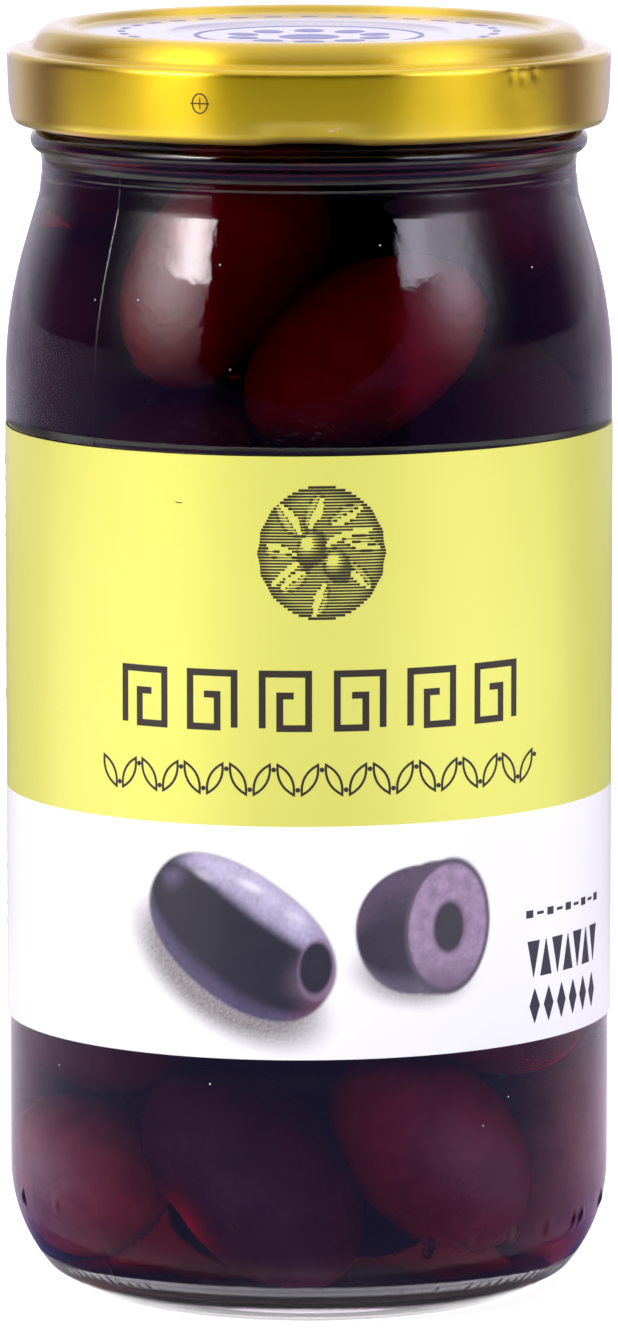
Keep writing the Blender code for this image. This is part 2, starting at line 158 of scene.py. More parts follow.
CAP_WAVES = (0.035 * MM, 16.0 * MM, 31.0)
DENTS = (
    (math.radians(41.3), 135.9 * MM, 0.16 * MM, 0.45 * MM, 0.8 * MM),
    (math.radians(44.0), 135.6 * MM, 0.13 * MM, 0.5 * MM, 0.7 * MM),
    (math.radians(47.2), 136.0 * MM, 0.18 * MM, 0.4 * MM, 0.6 * MM),
    (math.radians(42.0), 133.6 * MM, 0.1 * MM, 1.6 * MM, 2.4 * MM),
)
CAP_MARK_ANGLE = math.radians(-20.6)
CAP_MARK_HEIGHT = 133.5 * MM

# Olives: the front ones by angle, height, lean, half length and half width
OLIVE_COUNT = 55
OLIVE_HALF_LENGTH = 12.9 * MM
OLIVE_HALF_WIDTH = 8.35 * MM
OLIVE_TOP = 127.5 * MM
OLIVE_SEED = 11
OLIVE_AROUND = 34
OLIVE_BEND = 0.09
LUMPS = ((0.45 * MM, 9.0 * MM), (0.108 * MM, 3.6 * MM))
LUMP_RIM = 3.0 * MM
PIT_RADIUS = 2.5 * MM
PIT_ENDS = (-1, 1, 1, 1, -1, 1, -1, -1, -1, 1, -1, 1, -1, 1)
HEAP_GAP = 0.5 * MM
SETTLE_STEPS = 420
FIRST_SIZE, GROWTH = 0.55, 0.75
HELD_SHARE, HOME_PULL = 0.12, 0.12
LONGEST_MOVE, LONGEST_SWING = 2.0 * MM, 0.15
PROBE_ANGLES = np.radians(np.arange(-75.0, 61.0, 15.0))
FRONT_OLIVES = (
    (-23.5, 112.2 * MM, 57.0, 14.0 * MM, 9.0 * MM),
    (12.5, 104.0 * MM, 20.0, 13.6 * MM, 8.6 * MM),
    (60.0, 119.3 * MM, -12.0, 12.4 * MM, 8.0 * MM),
    (-31.0, 92.2 * MM, 22.0, 13.0 * MM, 8.3 * MM),
    (12.0, 87.0 * MM, -8.0, 12.8 * MM, 8.2 * MM),
    (52.0, 98.0 * MM, -52.0, 12.8 * MM, 8.2 * MM),
    (-66.0, 104.0 * MM, 70.0, 12.6 * MM, 8.0 * MM),
    (-65.0, 14.8 * MM, 8.0, 12.4 * MM, 8.3 * MM),
    (-14.7, 16.6 * MM, -42.0, 13.8 * MM, 8.9 * MM),
    (32.0, 17.2 * MM, -38.0, 13.0 * MM, 8.6 * MM),
    (76.0, 15.0 * MM, 64.0, 12.6 * MM, 8.2 * MM),
    (-57.0, 31.8 * MM, 2.0, 13.0 * MM, 8.4 * MM),
    (54.0, 34.0 * MM, -14.0, 12.8 * MM, 8.2 * MM),
    (-4.0, 37.0 * MM, 12.0, 13.0 * MM, 8.3 * MM),
)

# Colours of the skins. Painted light and shade: the shoulder olives are deep red in the front's middle as
# painted shade and redder on their sides as painted lamp light; crimson spots by angle, height and reach are
# painted light coming through the brine
# painted shade: the deep red of the two shoulder olives stands in for the dark middle of the front
DEEP_RED_PAINTED_SHADE = (0.14, 0.003, 0.005)
PLUM = (0.3, 0.17, 0.24)
DIM_VIOLET = (0.085, 0.075, 0.13)
BROWN_PLUM = (0.43, 0.28, 0.31)
HIDDEN_SKIN = (0.045, 0.014, 0.02)
DUSKY = (0.05, 0.016, 0.03)
FRONT_SKINS = (
    DEEP_RED_PAINTED_SHADE, DEEP_RED_PAINTED_SHADE, (0.1, 0.04, 0.055), DUSKY, (0.12, 0.03, 0.06), DUSKY, DUSKY, BROWN_PLUM, DIM_VIOLET,
    PLUM, BROWN_PLUM, (0.16, 0.09, 0.13), (0.26, 0.1, 0.15), (0.12, 0.05, 0.09),
)
BACK_SKINS = ((0.3, 0.13, 0.19), (0.16, 0.05, 0.09), (0.24, 0.08, 0.12), (0.34, 0.2, 0.24))
BACK_TURN = (72.0, 98.0)
SHOULDER_OLIVES = 2
# painted lamp light: the redder sides of the two shoulder olives
SIDE_PAINTED_LIGHT = (0.36, 0.02, 0.05)
# painted light: crimson spots deep in the heap where light through the brine shows between the front olives
BACKLIGHT_SPOTS = ((-31.0, 9.5 * MM, 3.6 * MM), (66.0, 27.5 * MM, 6.0 * MM))
PAINTED_BACKLIGHT_CRIMSON = (0.9, 0.02, 0.2)
SKIN_MOTTLE = ((0.72, 0.7, 0.72), (1.0, 1.0, 1.0), (1.3, 1.36, 1.3))

# Colours of the glass, brine, lacquer and label, and how rough the gold is
GLASS_TINT = (0.975, 0.99, 0.985, 1.0)
BRINE_TINT = (0.84, 0.0, 0.22, 1.0)
BRINE_DENSITY = 430.0
GOLD_TONES = ((0.92, 0.66, 0.014), (0.95, 0.69, 0.02))
GOLD_ROUGHNESS, RING_ROUGHNESS = (0.28, 0.33), (0.42, 0.48)
PANEL_WHITE = (0.74, 0.73, 0.76, 1.0)
LABEL_WHITE = (0.93, 0.935, 0.94, 1.0)
LIME_TONES = ((0.95, 0.96, 0.17), (0.98, 0.99, 0.2))

# Pictures on the label, in its own millimetres: ovals by centre, turn in degrees, half length and half width
PICTURE_SPAN = (-22.4, 22.6)
PICTURE_HEIGHTS = (30.9, 53.5)
PICTURE_STEP = 0.2
WHOLE_OLIVE = ((-7.6, 43.65), -35.0, 11.5, 7.0)
WHOLE_SHADOW = ((-9.2, 39.6), -31.0, 11.8, 5.7)
WHOLE_RIM = ((1.0, 40.2), 84.0, 3.4, 2.2)
WHOLE_HOLE = ((0.75, 40.4), 84.0, 2.85, 1.75)
GLINTS = (((-6.3, 49.3), 0.8, 0.9), ((-1.4, 46.0), 0.6, 0.5), ((-11.6, 50.2), 0.6, 0.4))
CUT_OLIVE = ((12.2, 44.2), 10.0, 7.1, 7.0)
CUT_END = ((14.0, 44.25), 86.0, 7.3, 6.2)
CUT_SHADOW = ((11.6, 39.4), -8.0, 6.2, 3.3)
CUT_FACE = ((15.7, 44.3), 86.0, 7.45, 5.15)
CUT_RING = ((15.8, 44.2), 88.0, 3.1, 2.15)
CUT_HOLE = ((15.7, 44.2), 88.0, 2.75, 1.8)

# Printed lines and marks, in millimetres on their surface. The emblem's leaves and olives are ovals in
# shares of its size, turned in radians; specks are by degrees and height.
INK_LIFT = 0.025 * MM
INK_SINK = 0.03 * MM
STROKE_STEP = 1.1
EMBLEM_CENTRE = (1.39, 85.5)
EMBLEM_SIZE = (7.0, 7.25)
EMBLEM_PITCH = 0.325
EMBLEM_LEAVES = (
    ((-0.52, 0.5), 2.2, 0.36, 0.14), ((-0.12, 0.62), 1.2, 0.34, 0.13), ((0.36, 0.56), 0.5, 0.34, 0.13),
    ((0.62, 0.14), -0.2, 0.33, 0.12), ((-0.66, 0.02), 2.9, 0.32, 0.12), ((-0.42, -0.42), -2.5, 0.3, 0.12),
    ((0.58, -0.34), -0.8, 0.32, 0.12), ((-0.02, -0.72), -1.9, 0.32, 0.12),
)
EMBLEM_OLIVES = (((-0.16, 0.06), 1.1, 0.3, 0.23), ((0.24, -0.2), 1.9, 0.28, 0.21))
KEY_UNITS = 6
KEY_SPAN = (-21.2, 24.2)
KEY_BASE, KEY_HEIGHT, KEY_WIDTH = 66.5, 5.9, 5.0
KEY_SPIRAL = ((0.0, 0.0), (0.0, 1.0), (1.0, 1.0), (1.0, 0.0), (0.38, 0.0), (0.38, 0.6), (0.68, 0.6))
BORDER_SPAN = (-24.6, 27.4)
BORDER_LEVEL = 60.9
BORDER_UNITS = 20
DASH_ENDS, DASH_PITCH, DASH_LEVEL = (26.2, 27.3), 1.75, 44.4
TRIANGLE_START, TRIANGLE_PITCH, TRIANGLE_LEVEL = 27.4, 2.1, 39.4
DIAMOND_START, DIAMOND_PITCH, DIAMOND_LEVEL = 27.6, 2.4, 34.2
SMALL_PRINT = (-84.0, -51.4)
TABLE_SPAN, TABLE_HEIGHTS = (54.0, 92.0), (59.5, 89.4)
SPECK_RADIUS = 0.1
SPECKS = (
    (-34.7, 112.0), (-45.5, 111.6), (-17.8, 116.1), (-14.7, 105.1), (14.4, 118.2), (49.8, 114.9),
    (-55.4, 27.0), (-18.8, 27.3), (40.7, 24.7), (34.7, 21.9),
)

# Lights: a lamp's core and halo are an azimuth, a spread and a glow; turns and rises are in degrees
LEFT_LAMP = {"cut": 41.0, "core": (50.0, 9.0, 18.0), "halo": (59.0, 15.0, 5.5), "tint": (1.0, 0.92, 0.95)}
RIGHT_LAMP = {"cut": 37.0, "core": (46.0, 9.0, 6.5), "halo": (63.0, 12.0, 4.4), "tint": (0.88, 0.84, 1.0)}
CORE_RISE = (22.8, 28.5, 2.2)
HALO_RISE, HALO_DROP, HALO_TOP = 20.5, 11.0, 32.0
SIDE_BOX = 1.15
SIDE_BOX_TURN = (46.0, 106.0, 6.0)
SIDE_BOX_RISE = (33.0, 56.0, 5.0)
LEFT_BOX_LOSS = 0.3
WALL_GLOW, WALL_TURN = 0.62, (114.0, 150.0)
BACK_GLOW, STRAIGHT_BACK = 0.95, (156.0, 168.0)
CEILING_GLOW, CEILING_RISE = 0.8, (44.0, 54.0)
STUDIO_TINT = (0.96, 0.97, 1.0, 1.0)
DIM_TINT = (0.1, 0.05, 0.18)

# Table, by distance from the jar's axis
TABLE_WHITE = (0.9, 0.905, 0.92, 1.0)
# painted shade: the table's colour under the jar, dark where the jar's shadow falls
UNDER_JAR_PAINTED_SHADE = (0.2, 0.22, 0.32, 1.0)
TABLE_RADIUS = 6.0
FLOOR_LIFT = 0.75
FLOOR_THROUGH_GLASS = 1.6
THROUGH_GLASS_TINT = (0.84, 0.93, 1.0, 1.0)
FLOOR_SHADED = (0.0236, 0.0250)
FOOT_WHITE = ((0.0256, 0.0264), (0.0280, 0.0289))
FOOT_WHITE_GLOW = 3.6
CARD_HEIGHT = 0.9 * MM
FOOT_DUSK = (0.030, 0.045)
NEAR_END = (0.17, 0.24)
MIDDLE_END = (0.66, 0.72)
MIDDLE_GLOW = 1.3
CENTRE_GLOW = 0.62
NEAR_TINT, NEAR_SIDE_TINT, FAR_TINT = (0.21, 0.18, 0.5), (0.6, 0.44, 0.66), (0.12, 0.05, 0.24)
BEHIND_TINTS = ((0.84, 0.74, 0.92), (0.3, 0.28, 0.28), (0.56, 0.51, 0.66))
TABLE_LIGHT = 1.6

# Camera
FRAME_HEIGHT = 1330.0
FOCAL_PIXELS = 9492.0
SENSOR_HEIGHT = 36.0
CAMERA_DISTANCE = 1.0409
CAMERA_HEIGHT = 0.22
CAMERA_PITCH = 8.28


# Node trees

def feed(socket, value):
    """Links a socket to the value, or sets it where the value is a number or a colour."""
    if isinstance(value, bpy.types.NodeSocket):
        socket.id_data.links.new(value, socket)
    else:
        socket.default_value = value


def add_node(tree, kind, inputs=None, **settings):
    """Adds a node with its attributes set and its inputs fed, each by name or number."""
    node = tree.nodes.new(kind)
    for key, value in settings.items():
        setattr(node, key, value)
    for key, value in (inputs or {}).items():
        feed(node.inputs[key], value)
    return node


def output(tree, kind, key, inputs=None, **settings):
    return add_node(tree, kind, inputs, **settings).outputs[key]


def new_material(name, **values):
    """A Principled material with its sockets set by name, and its tree and shader."""
    material = bpy.data.materials.new(name)
    material.use_nodes = True
    shader = material.node_tree.nodes["Principled BSDF"]
    for socket, value in values.items():
        shader.inputs[socket.replace("_", " ")].default_value = value
    return material, material.node_tree, shader


def compute(operation, *values):
    """A Math node on numbers and sockets."""
    tree = next(value.id_data for value in values if isinstance(value, bpy.types.NodeSocket))
    return output(tree, "ShaderNodeMath", 0, dict(enumerate(values)), operation=operation)


def times(first, *others):
    for other in others:
        first = compute("MULTIPLY", first, other)
    return first


def bell(value, centre, width):
    """1 at the centre, fading smoothly to either side."""
    offset = compute("DIVIDE", compute("SUBTRACT", value, centre), width)
    return compute("EXPONENT", times(offset, offset, -1.0))


def fade(value, low, high):
    """0 below low and 1 above high, smooth between."""
    inputs = {"Value": value, "From Min": low, "From Max": high}
    return output(value.id_data, "ShaderNodeMapRange", 0, inputs, interpolation_type="SMOOTHSTEP")


def between(value, low, high, soft):
    """1 from low to high, fading over soft on the outer side of each."""
    return times(fade(value, low - soft, low), compute("SUBTRACT", 1.0, fade(value, high, high + soft)))


def noise_value(place, scale, detail=3.0, roughness=0.5):
    inputs = {"Vector": place, "Scale": scale, "Detail": detail, "Roughness": roughness}
    return output(place.id_data, "ShaderNodeTexNoise", "Fac", inputs)


def ramp(value, *stops):
    node = add_node(value.id_data, "ShaderNodeValToRGB", {0: value})
    elements = node.color_ramp.elements
    while len(elements) < len(stops):
        elements.new(0.5)
    for element, (position, colour) in zip(elements, stops):
        element.position = position
        element.color = (*colour, 1.0)
    return node.outputs["Color"]


def mixed(tree, amount, first, second, blend_type="MIX"):
    """A colour between two, as a Mix node."""
    node = add_node(tree, "ShaderNodeMix", data_type="RGBA", blend_type=blend_type)
    for index, value in ((0, amount), (6, first), (7, second)):
        feed(node.inputs[index], value)
    return node.outputs[2]


def add_bump(shader, height, strength, distance):
    inputs = {"Height": height, "Strength": strength, "Distance": distance}
    feed(shader.inputs["Normal"], output(shader.id_data, "ShaderNodeBump", "Normal", inputs))


def object_coordinates(tree):
    return output(tree, "ShaderNodeTexCoord", "Object")


def vertex_colour(tree, layer):
    return add_node(tree, "ShaderNodeVertexColor", layer_name=layer).outputs


# Curves and shapes

def smooth_step(low, high, value):
    t = np.clip((value - low) / (high - low), 0.0, 1.0)
    return t * t * (3.0 - 2.0 * t)


def blend(first, second, amount):
    return np.array(first) * (1.0 - amount) + np.array(second) * amount


def angle_apart(a, b):
    return (a - b + math.pi) % (2.0 * math.pi) - math.pi


def even_turns(segments):
    return 2.0 * math.pi * np.arange(segments) / segments


def round_point(radius, angle, height):
    """A point by its distance from the axis and its angle from the front, towards +X."""
    return radius * math.sin(angle), -radius * math.cos(angle), height


def arc(centre, radius, start, end, count):
    angles = np.radians(np.linspace(start, end, count))
    return [(centre[0] + radius * math.cos(a), centre[1] + radius * math.sin(a)) for a in angles]


def bezier(p0, p1, p2, p3, count):
    t = np.linspace(0.0, 1.0, count)[:, None]
    points = [np.array(p) for p in (p0, p1, p2, p3)]
    weights = ((1 - t) ** 3, 3 * (1 - t) ** 2 * t, 3 * (1 - t) * t * t, t ** 3)
    return [tuple(p) for p in sum(w * p for w, p in zip(weights, points))]


def line(start, end, spacing):
    """Points from start up to but not including end, about spacing apart."""
    count = max(1, int(math.dist(start, end) / spacing))
    return [tuple(np.array(start) + (np.array(end) - np.array(start)) * k / count) for k in range(count)]


def add_piece(name, points, faces, materials, slots=None):
    mesh = bpy.data.meshes.new(name)
    mesh.from_pydata([tuple(point) for point in points], [], faces)
    if slots:
        mesh.polygons.foreach_set("material_index", slots)
    mesh.update()
    for material in materials:
        mesh.materials.append(material)
    piece = bpy.data.objects.new(name, mesh)
    bpy.context.scene.collection.objects.link(piece)
    return piece


def colour_points(piece, layer, colours):
    attribute = piece.data.color_attributes.new(layer, "FLOAT_COLOR", "POINT")
    attribute.data.foreach_set("color", np.ravel(colours))


def spin(profile, segments, first=0):
    """Faces of a profile spun about its axis, each with its band. The points are numbered from first, row
    by row, and a row on the axis is one point."""
    rows, faces, bands = [], [], []
    for radius, _ in profile:
        count = segments if radius else 1
        rows.append([first + k % count for k in range(segments)])
        first += count
    for band, (upper, lower) in enumerate(zip(rows, rows[1:])):
        for k in range(segments):
            following = (k + 1) % segments
            face = list(dict.fromkeys((upper[k], lower[k], lower[following], upper[following])))
            if len(face) > 2:
                faces.append(face)
                bands.append(band)
    return faces, bands


def lathe(name, profile, turns, materials, shape=None, slots=None):
    """Spins a profile of (radius, height) about Z, with a column of points at each of the turns.
    shape may move the grid of points: it is given their angles from the front, heights and radii, and
    returns new radii and heights. slots gives the material of each band of faces."""
    radii, heights = (np.array(values)[:, None] * np.ones(len(turns)) for values in zip(*profile))
    angles = turns * np.ones((len(profile), 1))
    if shape:
        radii, heights = shape(angles, heights, radii)
    grid = np.stack((radii * np.sin(angles), -radii * np.cos(angles), heights), axis=-1)
    points = []
    for row, (radius, _) in zip(grid, profile):
        points.extend(row if radius else row[:1])
    faces, bands = spin(profile, len(turns))
    piece = add_piece(name, points, faces, materials, [slots[band] for band in bands] if slots else None)
    piece.data.shade_smooth()
    return piece


def wrapped_noise(angles, heights, depth, size, seed):
    """Smooth noise over the round surface, up to about depth either way, in blobs of about that size."""
    field = np.empty(angles.shape)
    for index in np.ndindex(angles.shape):
        spot = Vector(round_point(BODY_RADIUS, angles[index], heights[index])) / size
        field[index] = noise.noise(spot + Vector((seed, 0.0, 0.0)))
    return depth * field


# Glass and brine

def shoulder_radius(height):
    """Outer radius of the glass: a tapered neck, a straight slope and a long round into the body."""
    height = np.asarray(height)
    neck = NECK_RADIUS + NECK_TAPER * np.clip(NECK_HEIGHT - height, 0.0, NECK_HEIGHT - SHOULDER_TOP)
    slope = SHOULDER_SLOPE * np.clip(SHOULDER_TOP - height, 0.0, None)
    above = np.clip(height - SHOULDER_START, 0.0, SHOULDER_ROUND)
    round_part = BODY_TOP_RADIUS - SHOULDER_ROUND + np.sqrt(SHOULDER_ROUND ** 2 - above ** 2)
    return np.where(height > ROUND_TOP, neck + slope, round_part)


def inner_radius(height):
    """Radius of the space inside the jar, with its rounded bottom corner."""
    drop = np.clip(FLOOR_HEIGHT + FLOOR_ROUND - height, 0.0, FLOOR_ROUND)
    corner = FLOOR_ROUND - np.sqrt(FLOOR_ROUND ** 2 - drop ** 2)
    return np.minimum(BODY_RADIUS, shoulder_radius(height)) - WALL - corner


def inner_profile(reach=0.0):
    """The inside wall from the middle of the floor to the neck, moved outwards by reach."""
    middle = FLOOR_HEIGHT - reach + FLOOR_RISE
    flat = float(inner_radius(FLOOR_HEIGHT))
    profile = [(0.0, middle)]
    profile += [(r, middle - FLOOR_RISE * (r / flat) ** 2) for r in np.linspace(2 * MM, flat, 12)]
    centre = (BODY_RADIUS - WALL - FLOOR_ROUND, FLOOR_HEIGHT + FLOOR_ROUND)
    profile += arc(centre, FLOOR_ROUND + reach, -82, 0, 12)
    levels = (*np.linspace(centre[1], SHOULDER_START, 8)[1:-1], *np.linspace(SHOULDER_START, NECK_HEIGHT, 18))
    return profile + [(float(inner_radius(h)) + reach, h) for h in levels]


INSIDE = inner_profile()


def glass_shape(angles, heights, radii):
    """Mould marks on the outside, and the faint unevenness of blown glass inside and out."""
    outside = np.zeros(radii.shape, dtype=bool)
    outside[len(INSIDE):] = True
    ripple, fine, creases, wander = (
        wrapped_noise(angles, heights, *kind) for kind in (RIPPLE, FINE_RIPPLE, CREASES, WANDER_INSIDE)
    )
    away = np.clip((heights - PUSH_UP) / CALM_FOOT, 0.0, 1.0)
    creased = np.exp(-((heights - CREASE_HEIGHT) / CREASE_SPREAD) ** 2)
    uneven = (ripple + fine + np.where(outside, 0.0, wander)) * away + creases * creased
    moved = radii + uneven * (radii > 0.0)
    on_wall = outside & (heights > SEAM_BOTTOM) & (heights < NECK_HEIGHT)
    for seam in SEAM_ANGLES:
        across = angle_apart(angles, seam) * BODY_RADIUS / SEAM_WIDTH
        moved += np.where(on_wall, SEAM_HEIGHT * np.exp(-across ** 2), 0.0)
    for degrees, level in HEEL_DOTS:
        across = angle_apart(angles, math.radians(degrees)) * BODY_RADIUS / HEEL_DOT_REACH[0]
        along = (heights - level) / HEEL_DOT_REACH[1]
        bump = np.clip(1.0 - across ** 2 - along ** 2, 0.0, 1.0)
        moved += np.where(outside, HEEL_DOT_HEIGHT * bump, 0.0)
    ring = np.exp(-((radii - BEARING_RADIUS + BEARING_WIDTH / 2) / KNURL_REACH) ** 2)
    knurls = KNURL_HEIGHT * ring * (0.5 + 0.5 * np.cos(KNURLS * angles))
    return moved, np.where(outside & (heights < KNURL_TOP), heights + knurls, heights)


def outer_profile():
    """The rim, bead, neck, shoulder, label panel, heel and foot, from top to bottom."""
    rim = arc((NECK_RADIUS - RIM_ROUND, RIM_HEIGHT - RIM_ROUND), RIM_ROUND, 180, 0, 12)
    finish_end = (NECK_RADIUS, BEAD_HEIGHT + BEAD_RADIUS + 0.2 * MM)
    finish = line((NECK_RADIUS, RIM_HEIGHT - 1.6 * MM), finish_end, 1.5 * MM)
    bead = arc((NECK_RADIUS, BEAD_HEIGHT), BEAD_RADIUS, 82, -82, 16)
    parting = NECK_HEIGHT - 0.2 * MM
    steps = ((0.0, 0.35 * MM), (PARTING_HEIGHT, 0.12 * MM), (PARTING_HEIGHT, -0.12 * MM), (0.0, -0.35 * MM))
    neck = [(NECK_RADIUS + out, parting + rise) for out, rise in steps]
    heights = np.concatenate((
        np.linspace(NECK_HEIGHT - 1.0 * MM, SHOULDER_TOP + 0.25 * MM, 5),
        np.linspace(SHOULDER_TOP - 0.1 * MM, ROUND_TOP, 16),
        np.linspace(ROUND_TOP, LABEL_TOP + 0.3 * MM, 30)[1:],
    ))
    shoulder = [(float(shoulder_radius(h)), h) for h in heights]
    panel_top = BODY_TOP_RADIUS - PANEL_DEPTH
    panel_bottom = BODY_RADIUS + 0.2 * MM - PANEL_DEPTH
    panel = [(panel_top, LABEL_TOP + 0.08 * MM)]
    panel += line((panel_top, LABEL_TOP), (panel_bottom, LABEL_BOTTOM), 8.0 * MM)
    panel += [(panel_bottom, LABEL_BOTTOM - 0.6 * MM), (BODY_RADIUS, LABEL_BOTTOM - 1.0 * MM)]
    body = line((BODY_RADIUS, LABEL_BOTTOM - 2.2 * MM), (BODY_RADIUS, HEEL_HEIGHT), 1.5 * MM)
    heel_end = (BEARING_RADIUS, 0.0)
    heel_bend = ((BODY_RADIUS, HEEL_HEIGHT - HEEL_DROP), (BEARING_RADIUS + HEEL_FOOT, 0.0))
    heel = bezier((BODY_RADIUS, HEEL_HEIGHT), *heel_bend, heel_end, 44)
    inner = BEARING_RADIUS - BEARING_WIDTH
    foot = line(heel_end, (inner, 0.0), 0.35 * MM)[1:]
    rise_end = (inner - 5.0 * MM, PUSH_UP)
    rise = bezier((inner, 0.0), (inner - 1.5 * MM, 0.0), (inner - 2.5 * MM, PUSH_UP), rise_end, 10)
    return rim + finish + bead + neck + shoulder + panel + body + heel + foot + rise + [(0.0, PUSH_UP * 1.3)]


def glass_material(name, reflecting, roughness=0.0):
    """Clear glass. Where brine wets it, the glass mirrors almost nothing; the foot is stippled."""
    shine = 1.0 if reflecting else 0.0
    material, tree, shader = new_material(
        name, Base_Color=GLASS_TINT, Roughness=roughness, IOR=1.52,
        Transmission_Weight=1.0, Specular_Tint=(shine, shine, shine, 1.0),
    )
    if reflecting:
        add_bump(shader, noise_value(object_coordinates(tree), *GLASS_GRAIN), GLASS_GRAIN_STRENGTH, 0.0002)
    return material


def make_glass():
    profile = INSIDE + outer_profile()
    outside = profile[len(INSIDE):]
    slots = [1] * len(INSIDE)
    slots += [2 if max(upper[1], lower[1]) < STIPPLE_TOP else 0 for upper, lower in zip(outside, outside[1:])]
    materials = (
        glass_material("clear_glass", True),
        glass_material("wetted_glass", False),
        glass_material("stippled_glass", True, STIPPLE_ROUGHNESS),
    )
    marks = [math.radians(degrees + step) for degrees, _ in HEEL_DOTS for step in DOT_STEPS]
    marks += [seam + math.radians(step) for seam in SEAM_ANGLES for step in SEAM_STEPS]
    turns = np.unique(np.concatenate((even_turns(GLASS_SEGMENTS), np.array(marks) % (2.0 * math.pi))))
    turns = turns[np.concatenate(((True,), np.diff(turns) > LEAST_TURN))]
    return lathe("jar_glass", profile, turns, materials, glass_shape, slots)


def brine_material():
    """Dark red brine: clear to look into, it swallows green and blue within a few millimetres."""
    material, tree, _ = new_material(
        "brine", Base_Color=(1.0, 1.0, 1.0, 1.0), Roughness=0.0, IOR=1.34,
        Transmission_Weight=1.0, Specular_Tint=(0.0, 0.0, 0.0, 1.0),
    )
    inputs = {"Color": BRINE_TINT, "Density": BRINE_DENSITY}
    absorption = output(tree, "ShaderNodeVolumeAbsorption", "Volume", inputs)
    feed(tree.nodes["Material Output"].inputs["Volume"], absorption)
    return material


def make_brine():
    wall = inner_profile(BRINE_REACH)
    radius = wall[-1][0]
    wall += [(radius, level) for level in BRINE_LEVELS] + [(0.0, BRINE_LEVELS[-1])]
    return lathe("brine", wall[::-1], even_turns(BRINE_SEGMENTS), (brine_material(),))


# Olives

def olive_spheres(half_length, half_width):
    """Offsets along the axis and radii of seven spheres that together fill one olive."""
    reach = half_length ** 2 - half_width ** 2
    offsets = np.array((0.0, 0.4, -0.4, 0.75, -0.75, 1.0, -1.0)) * reach / half_length
    return offsets, half_width * np.sqrt(1.0 - offsets ** 2 / reach)


def scatter_olives(draw):
    """Starting places, axes and sizes: the front olives first, then a loose random fill."""
    places, axes, lengths, widths = [], [], [], []
    for degrees, height, lean, half_length, half_width in FRONT_OLIVES:
        angle, rise = math.radians(degrees), math.radians(lean)
        places.append(round_point(inner_radius(height) - HEAP_GAP - half_width, angle, height))
        level = math.cos(rise)
        axes.append((level * math.cos(angle), level * math.sin(angle), math.sin(rise)))
        lengths.append(half_length)
        widths.append(half_width)
    spread = 0.7 * (BODY_RADIUS - WALL)
    while len(places) < OLIVE_COUNT:
        angle = draw.uniform(0.0, 2.0 * math.pi)
        depth = spread * math.sqrt(draw.uniform(0.0, 1.0))
        height = draw.uniform(FLOOR_HEIGHT + OLIVE_HALF_WIDTH, OLIVE_TOP - OLIVE_HALF_WIDTH)
        axis = draw.normal(size=3)
        places.append(round_point(depth, angle, height))
        axes.append(axis / np.linalg.norm(axis))
        lengths.append(OLIVE_HALF_LENGTH * draw.uniform(0.9, 1.05))
        widths.append(OLIVE_HALF_WIDTH * draw.uniform(0.93, 1.04))
    return (np.array(values) for values in (places, axes, lengths, widths))


def shortened(vectors, longest):
    """The vectors, none longer than longest."""
    lengths = np.linalg.norm(vectors, axis=1, keepdims=True) + 1e-9
    return vectors * np.minimum(1.0, longest / lengths)


def settle_olives():
    """Pushes the scattered olives apart and off the glass until they lie side by side."""
    draw = np.random.default_rng(OLIVE_SEED)
    places, axes, lengths, widths = scatter_olives(draw)
    held = np.arange(len(places)) < len(FRONT_OLIVES)
    home, aim = places.copy(), axes.copy()
    spheres = [olive_spheres(a, b) for a, b in zip(lengths, widths)]
    offsets, radii = (np.array(values) for values in zip(*spheres))
    owner = np.repeat(np.arange(len(places)), offsets.shape[1])
    same = owner[:, None] == owner[None, :]
    yielding = np.where(held, HELD_SHARE, 1.0)[owner]
    share = yielding[:, None] / (yielding[:, None] + yielding[None, :])
    for step in range(SETTLE_STEPS):
        grown = min(1.0, FIRST_SIZE + GROWTH * step / SETTLE_STEPS)
        ease = min(1.0, 4.0 * (1.0 - step / SETTLE_STEPS))
        centres = (places[:, None, :] + axes[:, None, :] * (offsets * grown)[..., None]).reshape(-1, 3)
        size = (radii * grown).ravel()
        apart = centres[:, None, :] - centres[None, :, :]
        distance = np.sqrt((apart ** 2).sum(-1)) + 1e-9
        overlap = np.clip(size[:, None] + size[None, :] - distance, 0.0, None)
        overlap[same] = 0.0
        push = 0.5 * ease * (apart * (overlap * share / distance)[..., None]).sum(1)
        reach = np.hypot(centres[:, 0], centres[:, 1]) + 1e-9
        beyond = np.zeros(len(centres))
        for angle in PROBE_ANGLES:
            probe = reach + size * math.cos(angle) + HEAP_GAP
            beyond = np.maximum(beyond, probe - inner_radius(centres[:, 2] + size * math.sin(angle)))
        push[:, :2] -= centres[:, :2] * (beyond / reach)[:, None]
        floor = FLOOR_HEIGHT + FLOOR_RISE + HEAP_GAP - FLOOR_RISE * reach / BODY_RADIUS
        push[:, 2] += np.clip(floor + size - centres[:, 2], 0.0, None)
        push[:, 2] -= np.clip(centres[:, 2] + size - OLIVE_TOP, 0.0, None)
        by_olive = push.reshape(*offsets.shape, 3)
        arms = centres.reshape(*offsets.shape, 3) - places[:, None, :]
        swing = shortened(np.cross(arms, by_olive).sum(1) / (1.3 * lengths[:, None] ** 2), LONGEST_SWING)
        places += shortened(by_olive.sum(1) / 2.2, LONGEST_MOVE)
        axes += np.cross(swing, axes)
        places[held] += HOME_PULL * ease * (home - places)[held]
        axes[held] += HOME_PULL * ease * (aim - axes)[held]
        axes /= np.linalg.norm(axes, axis=1, keepdims=True)
    return zip(places, axes, lengths, widths)


